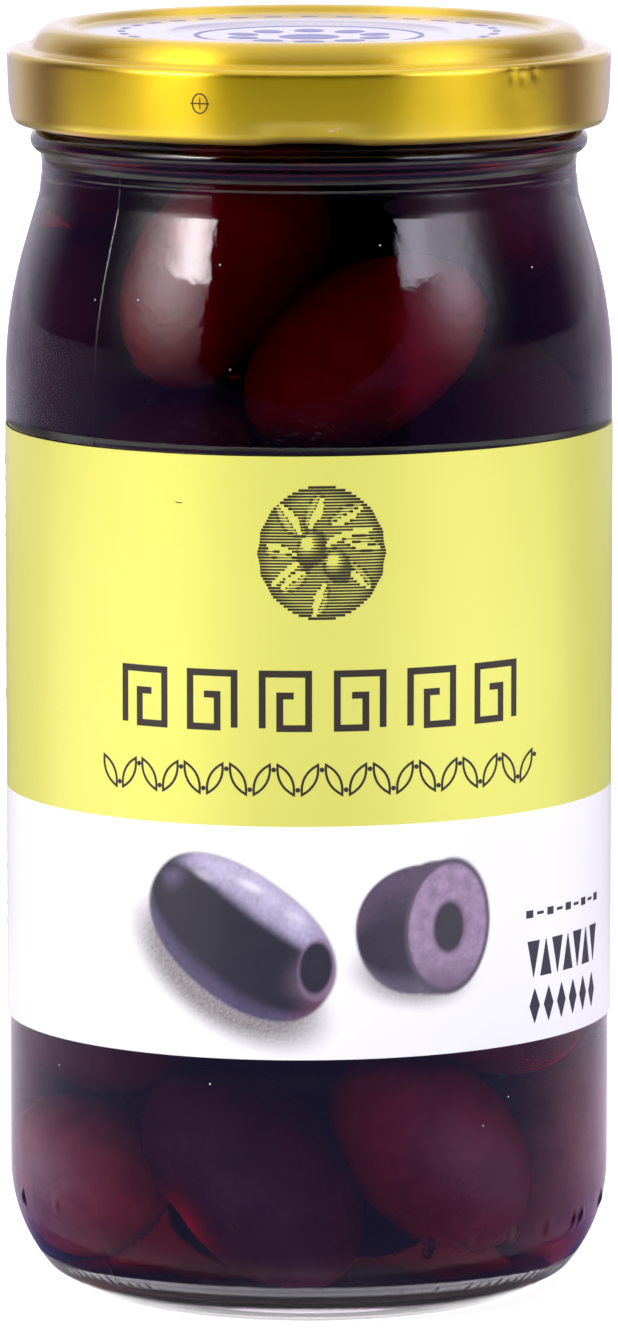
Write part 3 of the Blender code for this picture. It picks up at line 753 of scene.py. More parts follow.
def olive_profile(half_length, half_width):
    """Outline of a pitted olive as (radius, along), from the bottom of the pit hole to the pointed end."""
    points = [(0.0, -half_length)]
    for angle in np.radians(np.linspace(9.0, 163.0, 24)):
        along = -math.cos(angle)
        radius = half_width * math.sin(angle) ** (1.12 if along < 0.0 else 0.96)
        points.append((radius, along * half_length))
    mouth = points[-1][1] + 0.3 * MM
    for width, depth in ((1.06, 0.0), (0.92, 0.5), (0.8, 2.5), (0.7, 7.0), (0.0, 9.0)):
        points.append((PIT_RADIUS * width, mouth - depth * MM))
    return points[::-1]


def olive_points(profile, index, place, axis, half_length):
    """The points of one olive, a little bent and lumpy, row by row of its profile."""
    turn = Vector(axis).to_track_quat("Z", "Y").to_matrix()
    seed = index + 1.0
    bend = OLIVE_BEND * math.sin(seed * 2.3)
    offset = Vector((seed * 7.13, seed * 3.71, 0.0))
    points = []
    for radius, along in profile:
        for angle in even_turns(OLIVE_AROUND if radius else 1):
            direction = Vector((math.cos(angle), math.sin(angle), 0.0))
            spot = direction * radius + Vector((0.0, 0.0, along))
            lump = sum(height * noise.noise(spot / size + offset) for height, size in LUMPS)
            local = spot + direction * (lump * min(1.0, radius / LUMP_RIM))
            local.x += bend * half_length * ((along / half_length) ** 2 - 0.35)
            points.append(Vector(place) + turn @ local)
    return points


def skin_colour_with_painted_light(point, index):
    """Colour of an olive's skin at a point: its own, lighter at the jar's back, painted redder as lamp light
    on the sides away from the front's middle near the shoulder, and painted crimson light deep behind the
    spots where light comes through."""
    angle = math.degrees(math.atan2(point.x, -point.y))
    depth = float(inner_radius(point.z)) - math.hypot(point.x, point.y)
    if index < len(FRONT_SKINS):
        colour = FRONT_SKINS[index]
    else:
        colour = blend(HIDDEN_SKIN, BACK_SKINS[index % len(BACK_SKINS)], smooth_step(*BACK_TURN, abs(angle)))
    # painted lamp light on the shoulder olives' sides; their middle keeps its painted shade
    if index < SHOULDER_OLIVES:
        high = smooth_step(96.0 * MM, 100.0 * MM, point.z)
        colour = blend(colour, SIDE_PAINTED_LIGHT, smooth_step(17.0, 24.0, abs(angle + 1.5)) * high)
    # painted light: crimson deep behind the spots, standing in for light coming through the brine
    for spot_angle, height, reach in BACKLIGHT_SPOTS:
        across = math.radians(angle - spot_angle) * BODY_RADIUS
        near = math.exp(-(across ** 2 + (point.z - height) ** 2) / reach ** 2)
        colour = blend(colour, PAINTED_BACKLIGHT_CRIMSON, near * smooth_step(1.5 * MM, 4.0 * MM, depth))
    return (*colour, 1.0)


def olive_material():
    """Moist skin in each olive's own colour with its painted light and shade, mottled in patches, with fine
    pores.
    """
    material, tree, shader = new_material("olive_skin", Roughness=0.42, Specular_IOR_Level=0.0)
    place = object_coordinates(tree)
    mottled = ramp(noise_value(place, 120.0, 4.0, 0.6), *zip((0.3, 0.5, 0.7), SKIN_MOTTLE))
    skin = vertex_colour(tree, "skin")["Color"]
    feed(shader.inputs["Base Color"], mixed(tree, 1.0, mottled, skin, "MULTIPLY"))
    add_bump(shader, noise_value(place, 900.0, 2.0), 0.25, 0.0003)
    return material


def make_olives():
    points, faces, colours = [], [], []
    for index, (place, axis, half_length, half_width) in enumerate(settle_olives()):
        profile = olive_profile(half_length, half_width)
        faces += spin(profile, OLIVE_AROUND, len(points))[0]
        pit_end = PIT_ENDS[index % len(PIT_ENDS)]
        own = olive_points(profile, index, place, axis * pit_end, half_length)
        points += own
        colours += [skin_colour_with_painted_light(point, index) for point in own]
    piece = add_piece("olives_in_jar", points, faces, (olive_material(),))
    piece.data.shade_smooth()
    colour_points(piece, "skin", colours)
    return piece


# Cap

def skirt_radius(height):
    t = np.clip((SKIRT_SPAN[0] - height) / (SKIRT_SPAN[0] - SKIRT_SPAN[1]), 0.0, 1.0)
    return float(CAP_RADIUS + SKIRT_TOP_OUT - SKIRT_LEAN[0] * t - SKIRT_LEAN[1] * t * t)


def button_height(radius):
    return PANEL_HEIGHT - BUTTON_STEP - BUTTON_SAG * math.cos(radius / BUTTON_RADIUS * math.pi / 2)


def cap_top():
    """The sheet's outer face: button, panel, ring, ledge, skirt and curl."""
    panel, button, crest = PANEL_HEIGHT, PANEL_HEIGHT - BUTTON_STEP, RING_CREST_RADIUS
    top = [(0.0, button - BUTTON_SAG)]
    top += [(r, button_height(r)) for r in np.linspace(1.5, 14.9, 12) * MM]
    top += bezier((BUTTON_EDGE, button), (15.5 * MM, button), (15.5 * MM, panel), (16.0 * MM, panel), 8)
    top += [(r, panel) for r in np.linspace(17.0, 24.8, 7) * MM]
    top += bezier((25.3 * MM, panel), (26.3 * MM, panel), (crest - 1.6 * MM, CAP_TOP), (crest, CAP_TOP), 14)
    top += bezier(
        (crest + 0.2 * MM, CAP_TOP),
        (crest + 1.9 * MM, CAP_TOP - 0.1 * MM),
        (RING_OUTER_RADIUS - 0.5 * MM, CAP_LEDGE_HEIGHT + 1.3 * MM),
        (RING_OUTER_RADIUS, CAP_LEDGE_HEIGHT + 0.12 * MM),
        14,
    )
    top += [(RING_OUTER_RADIUS + 0.3 * MM, CAP_LEDGE_HEIGHT - 0.02 * MM)]
    start, end = SKIRT_SPAN
    top += arc((CAP_RADIUS + SKIRT_TOP_OUT - CAP_EDGE_ROUND, start), CAP_EDGE_ROUND, 92, 4, 12)
    levels = [start + (end - start) * t for t in np.linspace(0.04, 1.0, 18)[:-1]]
    top += [(skirt_radius(level), level) for level in levels]
    return top + arc((skirt_radius(end) - CURL_RADIUS, end), CURL_RADIUS, -3, -200, 18)


def cap_inside():
    """The sheet's inner face, from the curl back to the middle."""
    edge, curl = SKIRT_SPAN
    wall = CAP_RADIUS - CAP_SHEET
    inside = [(CAP_RADIUS - CURL_RADIUS - 0.55 * MM, curl + 0.75 * MM), (wall, curl + 1.3 * MM)]
    inside += line((wall, curl + 2.0 * MM), (wall, edge), 1.2 * MM)
    inside += [(CAP_RADIUS - 1.2 * MM, edge + 0.75 * MM), (RING_OUTER_RADIUS - 0.2 * MM, edge + 0.75 * MM)]
    inside += [(RING_OUTER_RADIUS - 0.9 * MM, CAP_TOP - RING_CREST_ROUND + 0.2 * MM)]
    inside += [(RING_CREST_RADIUS, CAP_TOP - CAP_SHEET), (RECESS_RADIUS, PANEL_HEIGHT - CAP_SHEET)]
    return inside + [(0.0, PANEL_HEIGHT - BUTTON_STEP - BUTTON_SAG - CAP_SHEET)]


def cap_shape(angles, heights, radii):
    """Lugs pressed into the curled edge, pinch marks on the skirt and a barely uneven sheet."""
    moved = radii.copy()
    lifted = heights.copy()
    low = np.clip((CAP_BOTTOM + LUG_HEIGHT - heights) / LUG_HEIGHT, 0.0, 1.0) * (radii > RING_OUTER_RADIUS)
    for turn in even_turns(LUGS):
        pressed = low * np.exp(-(angle_apart(angles, turn) / LUG_HALF_ANGLE) ** 4)
        moved -= 0.22 * MM * pressed
        lifted += 0.3 * MM * pressed
    skirt = (heights > CAP_BOTTOM + 0.8 * MM) & (heights < CAP_LEDGE_HEIGHT - 0.2 * MM)
    skirt &= radii > CAP_RADIUS - 0.6 * MM
    for angle, height, depth, half_width, half_height in DENTS:
        across = angle_apart(angles, angle) * CAP_RADIUS / half_width
        along = (heights - height) / half_height
        moved -= np.where(skirt, depth * np.exp(-across ** 2 - along ** 2), 0.0)
    waves = wrapped_noise(angles, heights * 0.4, *CAP_WAVES)
    return moved + waves * (radii > RECESS_RADIUS), lifted


def gold_material(name, smoothest, roughest):
    """Gold lacquer on tinplate: a metal sheet under a clear, slightly orange-peeled coat."""
    material, tree, shader = new_material(
        name, Metallic=1.0, Anisotropic=0.85, Anisotropic_Rotation=0.25,
        Coat_Weight=1.0, Coat_Roughness=0.09, Coat_IOR=1.5,
    )
    place = object_coordinates(tree)
    gold = ramp(noise_value(place, 60.0), *zip((0.3, 0.7), GOLD_TONES))
    rough = ramp(noise_value(place, 240.0), (0.3, (smoothest,) * 3), (0.75, (roughest,) * 3))
    feed(shader.inputs["Base Color"], gold)
    feed(shader.inputs["Roughness"], rough)
    feed(shader.inputs["Tangent"], output(tree, "ShaderNodeTangent", 0, direction_type="RADIAL", axis="Z"))
    add_bump(shader, noise_value(place, 1500.0, 2.0), 0.05, 0.0002)
    return material


def panel_material():
    """White lacquer on the cap's panel, inside the ring."""
    material, tree, shader = new_material(
        "panel_white", Base_Color=PANEL_WHITE, Roughness=0.35,
        Coat_Weight=1.0, Coat_Roughness=0.09, Coat_IOR=1.5,
    )
    add_bump(shader, noise_value(object_coordinates(tree), 1500.0, 2.0), 0.05, 0.0002)
    return material


def make_cap():
    """Both faces of the cap's sheet, gold but for the white panel, with a rougher ring and ledge."""
    top = cap_top()
    profile = top + cap_inside()
    slots = []
    for band, ((_, height), (outer, _)) in enumerate(zip(profile, profile[1:])):
        on_panel = band < len(top) and outer < PANEL_REACH
        slots.append(2 if on_panel else 1 if height > CAP_LEDGE_HEIGHT - 0.1 * MM else 0)
    gold, ring = gold_material("gold_lacquer", *GOLD_ROUGHNESS), gold_material("gold_ring", *RING_ROUGHNESS)
    turns = even_turns(CAP_SEGMENTS)
    return lathe("cap_gold", profile, turns, (gold, ring, panel_material()), cap_shape, slots)


# Label

def foil_material():
    """Lime-gold foil above a white field, under one satin varnish, with the pictures' ink over both."""
    material, tree, shader = new_material(
        "label_foil", Roughness=0.4, Coat_Weight=0.45, Coat_Roughness=0.16, Coat_IOR=1.5
    )
    place = object_coordinates(tree)
    split = add_node(tree, "ShaderNodeSeparateXYZ", {0: place}).outputs
    height = compute("MULTIPLY_ADD", split["X"], -math.tan(LABEL_SKEW), split["Z"])
    above = compute("GREATER_THAN", height, FIELD_SPLIT)
    lime = ramp(noise_value(place, 45.0, 2.0), *zip((0.3, 0.7), LIME_TONES))
    fields = mixed(tree, above, LABEL_WHITE, lime)
    ink = vertex_colour(tree, "print")
    feed(shader.inputs["Base Color"], mixed(tree, ink["Alpha"], fields, ink["Color"]))
    feed(shader.inputs["Metallic"], times(above, 0.5))
    add_bump(shader, noise_value(place, 700.0, 2.0), 0.06, 0.0002)
    return material


def on_label(u, v, lift=0.0):
    """Point on the label for millimetres u around from the front, towards +X, and v up from the table."""
    angle = u * MM / LABEL_RADIUS
    height = v * MM + LABEL_RADIUS * math.sin(angle) * math.tan(LABEL_SKEW)
    return round_point(LABEL_RADIUS + lift, angle, height)


def fine_steps(low, high):
    return np.linspace(low, high, round((high - low) / PICTURE_STEP) + 1)


def make_label():
    """A wrapped sheet whose end laps over its start at the back, finely divided where it is printed with
    a picture. Its outer rows run upwards, then one inner row at the top and one at the bottom."""
    half_round = (math.pi + LABEL_OVERLAP / 2) * LABEL_RADIUS / MM
    (left, right), (low, high) = PICTURE_SPAN, PICTURE_HEIGHTS
    sides = np.linspace(-half_round, left, 84)[:-1], np.linspace(right, half_round, 84)[1:]
    around = np.concatenate((sides[0], fine_steps(left, right), sides[1]))
    upper = np.linspace(high, LABEL_TOP / MM, 12)[1:]
    levels = np.concatenate(((LABEL_BOTTOM / MM,), fine_steps(low, high), upper))
    t = (around + half_round) / (2.0 * half_round)
    lap = 1.15 * LABEL_THICKNESS * np.clip(1.0 - (1.0 - t) / 0.035, 0.0, 1.0)
    rows = [(level, 0.0) for level in levels]
    rows += [(levels[-1], LABEL_THICKNESS), (levels[0], LABEL_THICKNESS)]
    points = [on_label(u, level, rise - depth) for level, depth in rows for u, rise in zip(around, lap)]
    columns, count = len(around), len(rows)
    faces = []
    for row in range(count):
        here, following = row * columns, (row + 1) % count * columns
        for k in range(columns - 1):
            faces.append((here + k, here + k + 1, following + k + 1, following + k))
    first_edge = [row * columns for row in range(count)]
    faces += [first_edge[::-1], [corner + columns - 1 for corner in first_edge]]
    piece = add_piece("label_sheet", points, faces, (foil_material(),))
    piece.data.shade_smooth()
    piece.data.set_sharp_from_angle(angle=math.radians(40.0))
    colours = np.zeros((len(points), 4))
    colours[:columns * len(levels)] = picture(*np.meshgrid(around, levels)).reshape(-1, 4)
    colour_points(piece, "print", colours)
    return piece


# Pictures on the label

def ink_colour(*srgb):
    """Linear colour of a printed tone, given as it looks on screen from 0 to 255."""
    value = np.array(srgb) / 255.0
    return 0.93 * np.where(value > 0.04, ((value + 0.055) / 1.055) ** 2.4, value / 12.92)


def field_noise(u, v, size, seed):
    values = [noise.noise(Vector((a, b, seed))) for a, b in zip(np.ravel(u / size), np.ravel(v / size))]
    return np.array(values).reshape(u.shape)


def in_oval(x, y, centre, turn, half_length, half_width):
    """Places along and across a turned oval, both from -1 to 1 inside it."""
    dx, dy = x - centre[0], y - centre[1]
    along = (dx * math.cos(turn) + dy * math.sin(turn)) / half_length
    return along, (dy * math.cos(turn) - dx * math.sin(turn)) / half_width


def egg(u, v, centre, degrees, half_length, half_width, power=2.0):
    """Distance outside an oval in about millimetres, and the place along and across it from -1 to 1."""
    along, across = in_oval(u, v, centre, math.radians(degrees), half_length, half_width)
    size = (np.abs(along) ** power + np.abs(across) ** power) ** (1.0 / power)
    room = np.clip(1.0 - np.abs(along) ** power, 0.02, 1.0) ** (1.0 / power)
    return (size - 1.0) * half_width, along, np.clip(across / room, -1.0, 1.0)


def covered(u, v, oval, start=0.2, end=-0.2):
    """Cover of a printed oval, soft from start to end millimetres outside its edge."""
    return smooth_step(start, end, egg(u, v, *oval)[0])


def tinted(body, amount, *srgb):
    return body + (ink_colour(*srgb) - body) * amount[..., None]


def lay(canvas, amount, colour):
    """Prints a colour over the canvas, which keeps its cover in the fourth channel."""
    amount = np.clip(amount, 0.0, 1.0)[..., None]
    canvas[..., :3] += (colour - canvas[..., :3]) * amount
    canvas[..., 3:] += (1.0 - canvas[..., 3:]) * amount


def lay_shadow(canvas, u, v, oval, strength):
    grain = 1.0 + 0.22 * field_noise(u, v, 0.3, 8.0)
    amount = strength * covered(u, v, oval, 1.3, -1.6) * grain
    cover = np.clip(amount, 0.0, 1.0) * (1.0 - canvas[..., 3])
    canvas[..., :3] = np.where(canvas[..., 3:] > 0.0, canvas[..., :3], ink_colour(118, 108, 112))
    canvas[..., 3] += cover


def lay_whole_olive(canvas, u, v, grain):
    """A whole olive with a pale sheen above, a lit lower edge, a redder pit end, glints and a dark hole."""
    outside, along, across = egg(u, v, *WHOLE_OLIVE, 2.25)
    body = ink_colour(29, 25, 46) * np.ones((*u.shape, 3))
    shine = smooth_step(0.3, 0.54, across - 0.28 * along ** 2) * smooth_step(1.0, 0.75, np.abs(along))
    body = tinted(body, shine, 168, 158, 192)
    crest = np.exp(-((across - 0.8) / 0.2) ** 2) * smooth_step(0.85, 0.3, np.abs(along + 0.1))
    body = tinted(body, 0.8 * crest, 205, 198, 226)
    body = tinted(body, smooth_step(-0.6, -0.92, across), 82, 72, 108)
    pink = smooth_step(0.45, 0.95, along) * smooth_step(-0.6, 0.1, across)
    body = tinted(body, 0.75 * pink, 150, 118, 148)
    red_end = smooth_step(0.72, 1.0, along) * smooth_step(0.35, -0.3, across)
    body = tinted(body, 0.85 * red_end, 108, 62, 88)
    dimple = np.exp(-((along + 0.86) / 0.1) ** 2 - ((across - 0.2) / 0.3) ** 2)
    body = tinted(body, 0.5 * dimple, 122, 112, 150)
    lay(canvas, smooth_step(0.2, -0.12, outside), body * grain)
    for place, size, glint in GLINTS:
        spot = covered(u, v, (place, -25.0, size * 1.6, size * 0.5), 0.35, -0.3)
        lay(canvas, glint * spot, ink_colour(240, 236, 248))
    rim = covered(u, v, WHOLE_RIM, 0.25, -0.1) * smooth_step(0.2, -0.3, outside)
    lay(canvas, 0.55 * rim, ink_colour(140, 116, 146))
    lay(canvas, covered(u, v, WHOLE_HOLE), ink_colour(33, 30, 48) * grain)


def lay_cut_olive(canvas, u, v, grain):
    """Half an olive that turns its cut face to the right, with the hole in the middle of its flesh."""
    outside, along, across = egg(u, v, *CUT_OLIVE, 2.1)
    outside = np.minimum(outside, egg(u, v, *CUT_END)[0])
    dark, pale = ink_colour(50, 40, 64), ink_colour(86, 68, 96)
    body = dark + (pale - dark) * smooth_step(0.1, 0.9, across)[..., None]
    body = tinted(body, smooth_step(-0.55, -1.0, across), 96, 88, 112)
    lay(canvas, smooth_step(0.2, -0.12, outside), body * grain)
    face, along, across = egg(u, v, *CUT_FACE)
    mottle = 1.0 + 0.3 * field_noise(u, v, 1.1, 11.0) + 0.2 * field_noise(u, v, 0.4, 13.0)
    flesh = ink_colour(157, 131, 164) * mottle[..., None]
    flesh = tinted(flesh, smooth_step(-0.35, -1.0, along), 112, 88, 116)
    lay(canvas, smooth_step(0.2, -0.12, face), ink_colour(84, 72, 94))
    lay(canvas, smooth_step(-0.25, -0.6, face), flesh)
    lay(canvas, 0.6 * covered(u, v, CUT_RING), ink_colour(118, 84, 112))
    lay(canvas, covered(u, v, CUT_HOLE), ink_colour(44, 40, 58) * grain)


def picture(u, v):
    """A whole pitted olive and a cut one with their soft shadows, as colours with cover."""
    canvas = np.zeros((*u.shape, 4))
    inside = (u > PICTURE_SPAN[0]) & (u < PICTURE_SPAN[1]) & (v < PICTURE_HEIGHTS[1])
    grain = 1.0 + 0.22 * field_noise(u, v, 0.45, 2.0) + 0.16 * field_noise(u, v, 2.2, 5.0)
    lay_shadow(canvas, u, v, WHOLE_SHADOW, 0.85)
    lay_shadow(canvas, u, v, CUT_SHADOW, 0.8)
    lay_whole_olive(canvas, u, v, grain[..., None])
    lay_cut_olive(canvas, u, v, grain[..., None])
    canvas[..., 3] *= inside
    return canvas


# Printed lines and marks

class Print:
    """Thin raised strokes. place turns millimetres across and up a surface, and a lift, into a point."""

    def __init__(self, place):
        self.place = place
        self.points = []
        self.faces = []
        self.slots = []

    def stroke(self, points, half_widths, slot=0, closed=False):
        """A stroke along points, mitred at its corners, with one half width or one for each point."""
        widths = half_widths if np.ndim(half_widths) else [half_widths] * len(points)
        stations = [(np.array(point), width) for point, width in zip(points, widths)]
        if closed:
            stations.append(stations[0])
        path = []
        for (a, wide_a), (b, wide_b) in zip(stations, stations[1:]):
            pieces = max(1, math.ceil(float(np.linalg.norm(b - a)) / STROKE_STEP))
            parts = [i / pieces for i in range(pieces)]
            path += [(a + (b - a) * part, wide_a + (wide_b - wide_a) * part) for part in parts]
        if not closed:
            path.append(stations[-1])
        count, first = len(path), len(self.points)
        for k, (spot, half_width) in enumerate(path):
            steps = [spot - path[k - 1][0]] if k or closed else []
            if k < count - 1 or closed:
                steps.append(path[(k + 1) % count][0] - spot)
            steps = [step / np.linalg.norm(step) for step in steps]
            along = sum(steps) / np.linalg.norm(sum(steps))
            reach = half_width / max(0.45, float(np.dot(along, steps[0])))
            side = np.array((-along[1], along[0])) * reach
            for lift in (INK_LIFT, -INK_SINK):
                self.points += [self.place(*(spot - side), lift), self.place(*(spot + side), lift)]
        faces = []
        for k in range(count if closed else count - 1):
            a, b, c, d = (4 * k + corner for corner in range(4))
            e, f, g, h = (4 * ((k + 1) % count) + corner for corner in range(4))
            faces += [(a, e, f, b), (c, d, h, g), (a, c, g, e), (b, f, h, d)]
        if not closed:
            last = 4 * (count - 1)
            faces += [(0, 1, 3, 2), (last, last + 2, last + 3, last + 1)]
        self.faces += [[first + corner for corner in face] for face in faces]
        self.slots += [slot] * len(faces)

    def dot(self, centre, radius, slot=0):
        across = np.linspace(-0.97, 0.97, 7)
        points = [(centre[0] + radius * x, centre[1]) for x in across]
        self.stroke(points, radius * np.sqrt(1.0 - across ** 2), slot)

    def piece(self, name, *inks):
        return add_piece(name, self.points, self.faces, inks, self.slots)


def ring_points(count, radius):
    return [(radius * math.sin(turn), radius * math.cos(turn)) for turn in even_turns(count)]


def leaf_outline(centre, half_length, half_width, turn, count=9):
    """Points round a pointed leaf."""
    s = np.linspace(-1.0, 1.0, count)
    side = half_width * (1.0 - s * s)
    along = np.concatenate((s, s[-2:0:-1])) * half_length
    across = np.concatenate((side, -side[-2:0:-1]))
    u = centre[0] + along * math.cos(turn) - across * math.sin(turn)
    v = centre[1] + along * math.sin(turn) + across * math.cos(turn)
    return list(zip(u, v))


def emblem_tone(x, y):
    """Darkness of an engraved olive sprig in a round field, 0 to 1, with x and y from -1 to 1."""
    rim = smooth_step(0.8, 1.0, math.hypot(x, y))
    tone = 0.56 + 0.1 * noise.noise(Vector((x * 3.0, y * 3.0, 2.0))) + 0.3 * rim
    if abs(y - 0.55 * x - 0.1 + 0.3 * x * x) < 0.045 and abs(x) < 0.75:
        tone = 0.1
    for leaf in EMBLEM_LEAVES:
        along, across = in_oval(x, y, *leaf)
        room = 1.0 - along * along
        if abs(across) < 0.12 and abs(across) < room:
            tone = 0.8
        elif abs(across) < room:
            tone = 0.9 if abs(across) > room - 0.2 else 0.12 + 0.3 * smooth_step(0.0, 1.0, across)
    for centre, turn, half_length, half_width in EMBLEM_OLIVES:
        size = math.hypot(*in_oval(x, y, centre, turn, half_length, half_width))
        if size < 1.0:
            lit = math.hypot(x - centre[0] + 0.07, y - centre[1] - 0.08) / half_width
            tone = 0.95 if size > 0.88 else 0.05 + 0.85 * smooth_step(0.15, 1.1, lit)
    return tone


def print_emblem(label):
    """Engraving lines whose thickness follows the sprig's tone."""
    rows = int(2.0 * EMBLEM_SIZE[1] / EMBLEM_PITCH)
    for row in range(rows):
        y = -1.0 + (row + 0.5) * 2.0 / rows
        reach = math.sqrt(1.0 - y * y) * (1.0 - 0.03 * abs(math.sin(row * 2.7)))
        count = max(3, int(reach * EMBLEM_SIZE[0] * 2.0 / 0.26))
        run, widths = [], []
        for x in (*np.linspace(-reach, reach, count), None):
            tone = 0.0 if x is None else emblem_tone(x, y)
            if tone > 0.13:
                run.append((EMBLEM_CENTRE[0] + x * EMBLEM_SIZE[0], EMBLEM_CENTRE[1] + y * EMBLEM_SIZE[1]))
                widths.append(EMBLEM_PITCH * (0.06 + 0.42 * tone))
            else:
                if len(run) > 1:
                    label.stroke(run, widths)
                run, widths = [], []


def print_front(label):
    """A row of square spirals, a leaf border below it, and plain marks on the white field."""
    for k in range(KEY_UNITS):
        left = KEY_SPAN[0] + (KEY_SPAN[1] - KEY_SPAN[0] - KEY_WIDTH) * k / (KEY_UNITS - 1)
        turned = [(1.0 - x if k % 2 else x, y) for x, y in KEY_SPIRAL]
        label.stroke([(left + KEY_WIDTH * x, KEY_BASE + KEY_HEIGHT * y) for x, y in turned], 0.37)
    for k in range(BORDER_UNITS):
        u = BORDER_SPAN[0] + (BORDER_SPAN[1] - BORDER_SPAN[0]) * (k + 0.5) / BORDER_UNITS
        turn = math.radians(62.0 if k % 2 else 118.0)
        label.stroke(leaf_outline((u, BORDER_LEVEL), 1.85, 0.62, turn), 0.13, closed=True)
        label.dot((u + 1.3, BORDER_LEVEL + (1.1 if k % 2 else -1.1)), 0.26)
    for k in range(9):
        ends = [(end + DASH_PITCH * k, DASH_LEVEL) for end in DASH_ENDS]
        label.stroke(ends, 0.16 if k % 2 else 0.42, 1)
    for k in range(7):
        u, rise = TRIANGLE_START + TRIANGLE_PITCH * k, 2.0 if k % 2 else -2.0
        label.stroke([(u, TRIANGLE_LEVEL + rise * step) for step in (-1, 0, 1)], [1.0, 0.52, 0.04], 1)
    for k in range(6):
        u = DIAMOND_START + DIAMOND_PITCH * k
        label.stroke([(u, DIAMOND_LEVEL + 1.9 * step) for step in (-1, 0, 1)], [0.04, 0.85, 0.04], 1)
    label.stroke([(-14.8, 90.7), (-14.4, 90.62), (-14.0, 90.66)], 0.05)


def print_rules(label, draw, span, levels, half_width, slot=0):
    """Rows of short strokes in word lengths, in the place of small print."""
    for level in levels:
        u = span[0]
        while u < span[1] - 1.0:
            length = min(draw.uniform(1.2, 5.2), span[1] - u)
            label.stroke([(u, level), (u + length, level)], half_width, slot)
            u += length + 0.8


def print_back(label):
    """Small print, a ruled table and a row of bars round the sides and back."""
    draw = np.random.default_rng(5)
    print_rules(label, draw, (-84.0, -50.4), (91.9, 65.8), 0.42)
    print_rules(label, draw, SMALL_PRINT, np.arange(69.0, 90.0, 2.05), 0.2)
    print_rules(label, draw, SMALL_PRINT, np.arange(34.0, 53.0, 2.05), 0.2, 1)
    print_rules(label, draw, TABLE_SPAN, (91.2,), 0.42)
    for column in (56.0, 72.0), (84.0, 90.0):
        print_rules(label, draw, column, np.arange(61.0, 88.5, 2.3), 0.2)
    (left, right), (low, high) = TABLE_SPAN, TABLE_HEIGHTS
    label.stroke([(left, low), (right, low), (right, high), (left, high)], 0.16, closed=True)
    for level in np.arange(62.2, 88.0, 2.3):
        label.stroke([(left + 0.2, level), (right - 0.2, level)], 0.06)
    u = 56.0
    while u < 88.0:
        width = draw.choice((0.17, 0.3, 0.5))
        label.stroke([(u, 36.0), (u, 51.0)], width, 1)
        u += 2.0 * width + draw.choice((0.25, 0.45, 0.75))


def on_cap(u, v, lift=0.0):
    """Point on the cap's skirt for millimetres u from the mark's middle and v above it."""
    angle = CAP_MARK_ANGLE + u * MM / CAP_RADIUS
    height = CAP_MARK_HEIGHT + v * MM
    moved, lifted = cap_shape(np.array([angle]), np.array([height]), np.array([skirt_radius(height)]))
    return round_point(float(moved[0]) + lift + 0.01 * MM, angle, float(lifted[0]))


def on_lid(u, v, lift=0.0):
    """Point on the cap's panel and button, u millimetres to the right of the middle and v to the back."""
    radius = math.hypot(u, v) * MM
    height = button_height(radius) if radius < BUTTON_EDGE else PANEL_HEIGHT
    return u * MM, v * MM, height + lift


def on_glass(u, v, lift=0.0):
    """Point on the glass for millimetres u around from the front and v up from the table."""
    radius = min(BODY_RADIUS, float(shoulder_radius(v * MM)))
    return round_point(radius + lift, u * MM / radius, v * MM)


def ink_material(name, *colour):
    return new_material(
        name, Base_Color=(*ink_colour(*colour), 1.0), Roughness=0.5,
        Coat_Weight=0.3, Coat_Roughness=0.16, Coat_IOR=1.5,
    )[0]


def make_specks():
    """Pale specks of dust and tiny chips on the glass."""
    specks = Print(on_glass)
    for degrees, height in SPECKS:
        radius = min(BODY_RADIUS, float(shoulder_radius(height * MM))) / MM
        specks.dot((math.radians(degrees) * radius, height), SPECK_RADIUS)
    return specks.piece("specks", ink_material("speck", 214, 206, 214))


def make_label_print():
    label = Print(on_label)
    print_emblem(label)
    print_front(label)
    print_back(label)
    inks = (("ink_brown", 44, 34, 16), ("ink_blue", 40, 40, 58))
    return label.piece("label_print", *(ink_material(*ink) for ink in inks))


def make_cap_print():
    """A cross in an ellipse and a scratch on the skirt, and pale blue print on the white panel: dots about
    a larger one inside a fine ring, and dashes round the edge."""
    cap = Print(on_cap)
    ellipse = [(0.85 * math.cos(turn), 1.05 * math.sin(turn)) for turn in even_turns(24)]
    cap.stroke(ellipse, 0.075, closed=True)
    cap.stroke([(-1.1, 0.0), (1.1, 0.0)], 0.075)
    cap.stroke([(0.0, -0.6), (0.0, 0.6)], 0.06)
    cap.stroke([(13.9, -2.95), (14.3, -2.78), (14.75, -2.72)], [0.05, 0.1, 0.03], 1)
    cap.stroke([(14.85, -2.6), (15.25, -2.42)], [0.09, 0.04], 1)
    cap.place = on_lid
    cap.dot((0.0, 0.0), 3.4, 2)
    for spot in ring_points(10, 7.6):
        cap.dot(spot, 1.7, 2)
    cap.stroke(ring_points(72, 12.4), 0.28, 2, closed=True)
    for turn in even_turns(32):
        bent = [turn + step for step in (-0.045, 0.0, 0.045)]
        cap.stroke([(20.6 * math.sin(angle), 20.6 * math.cos(angle)) for angle in bent], 0.4, 2)
    inks = (("ink_cap", 72, 44, 10), ("bare_tin", 206, 160, 150), ("ink_lid", 126, 132, 196))
    return cap.piece("cap_print", *(ink_material(*ink) for ink in inks))


# Stage

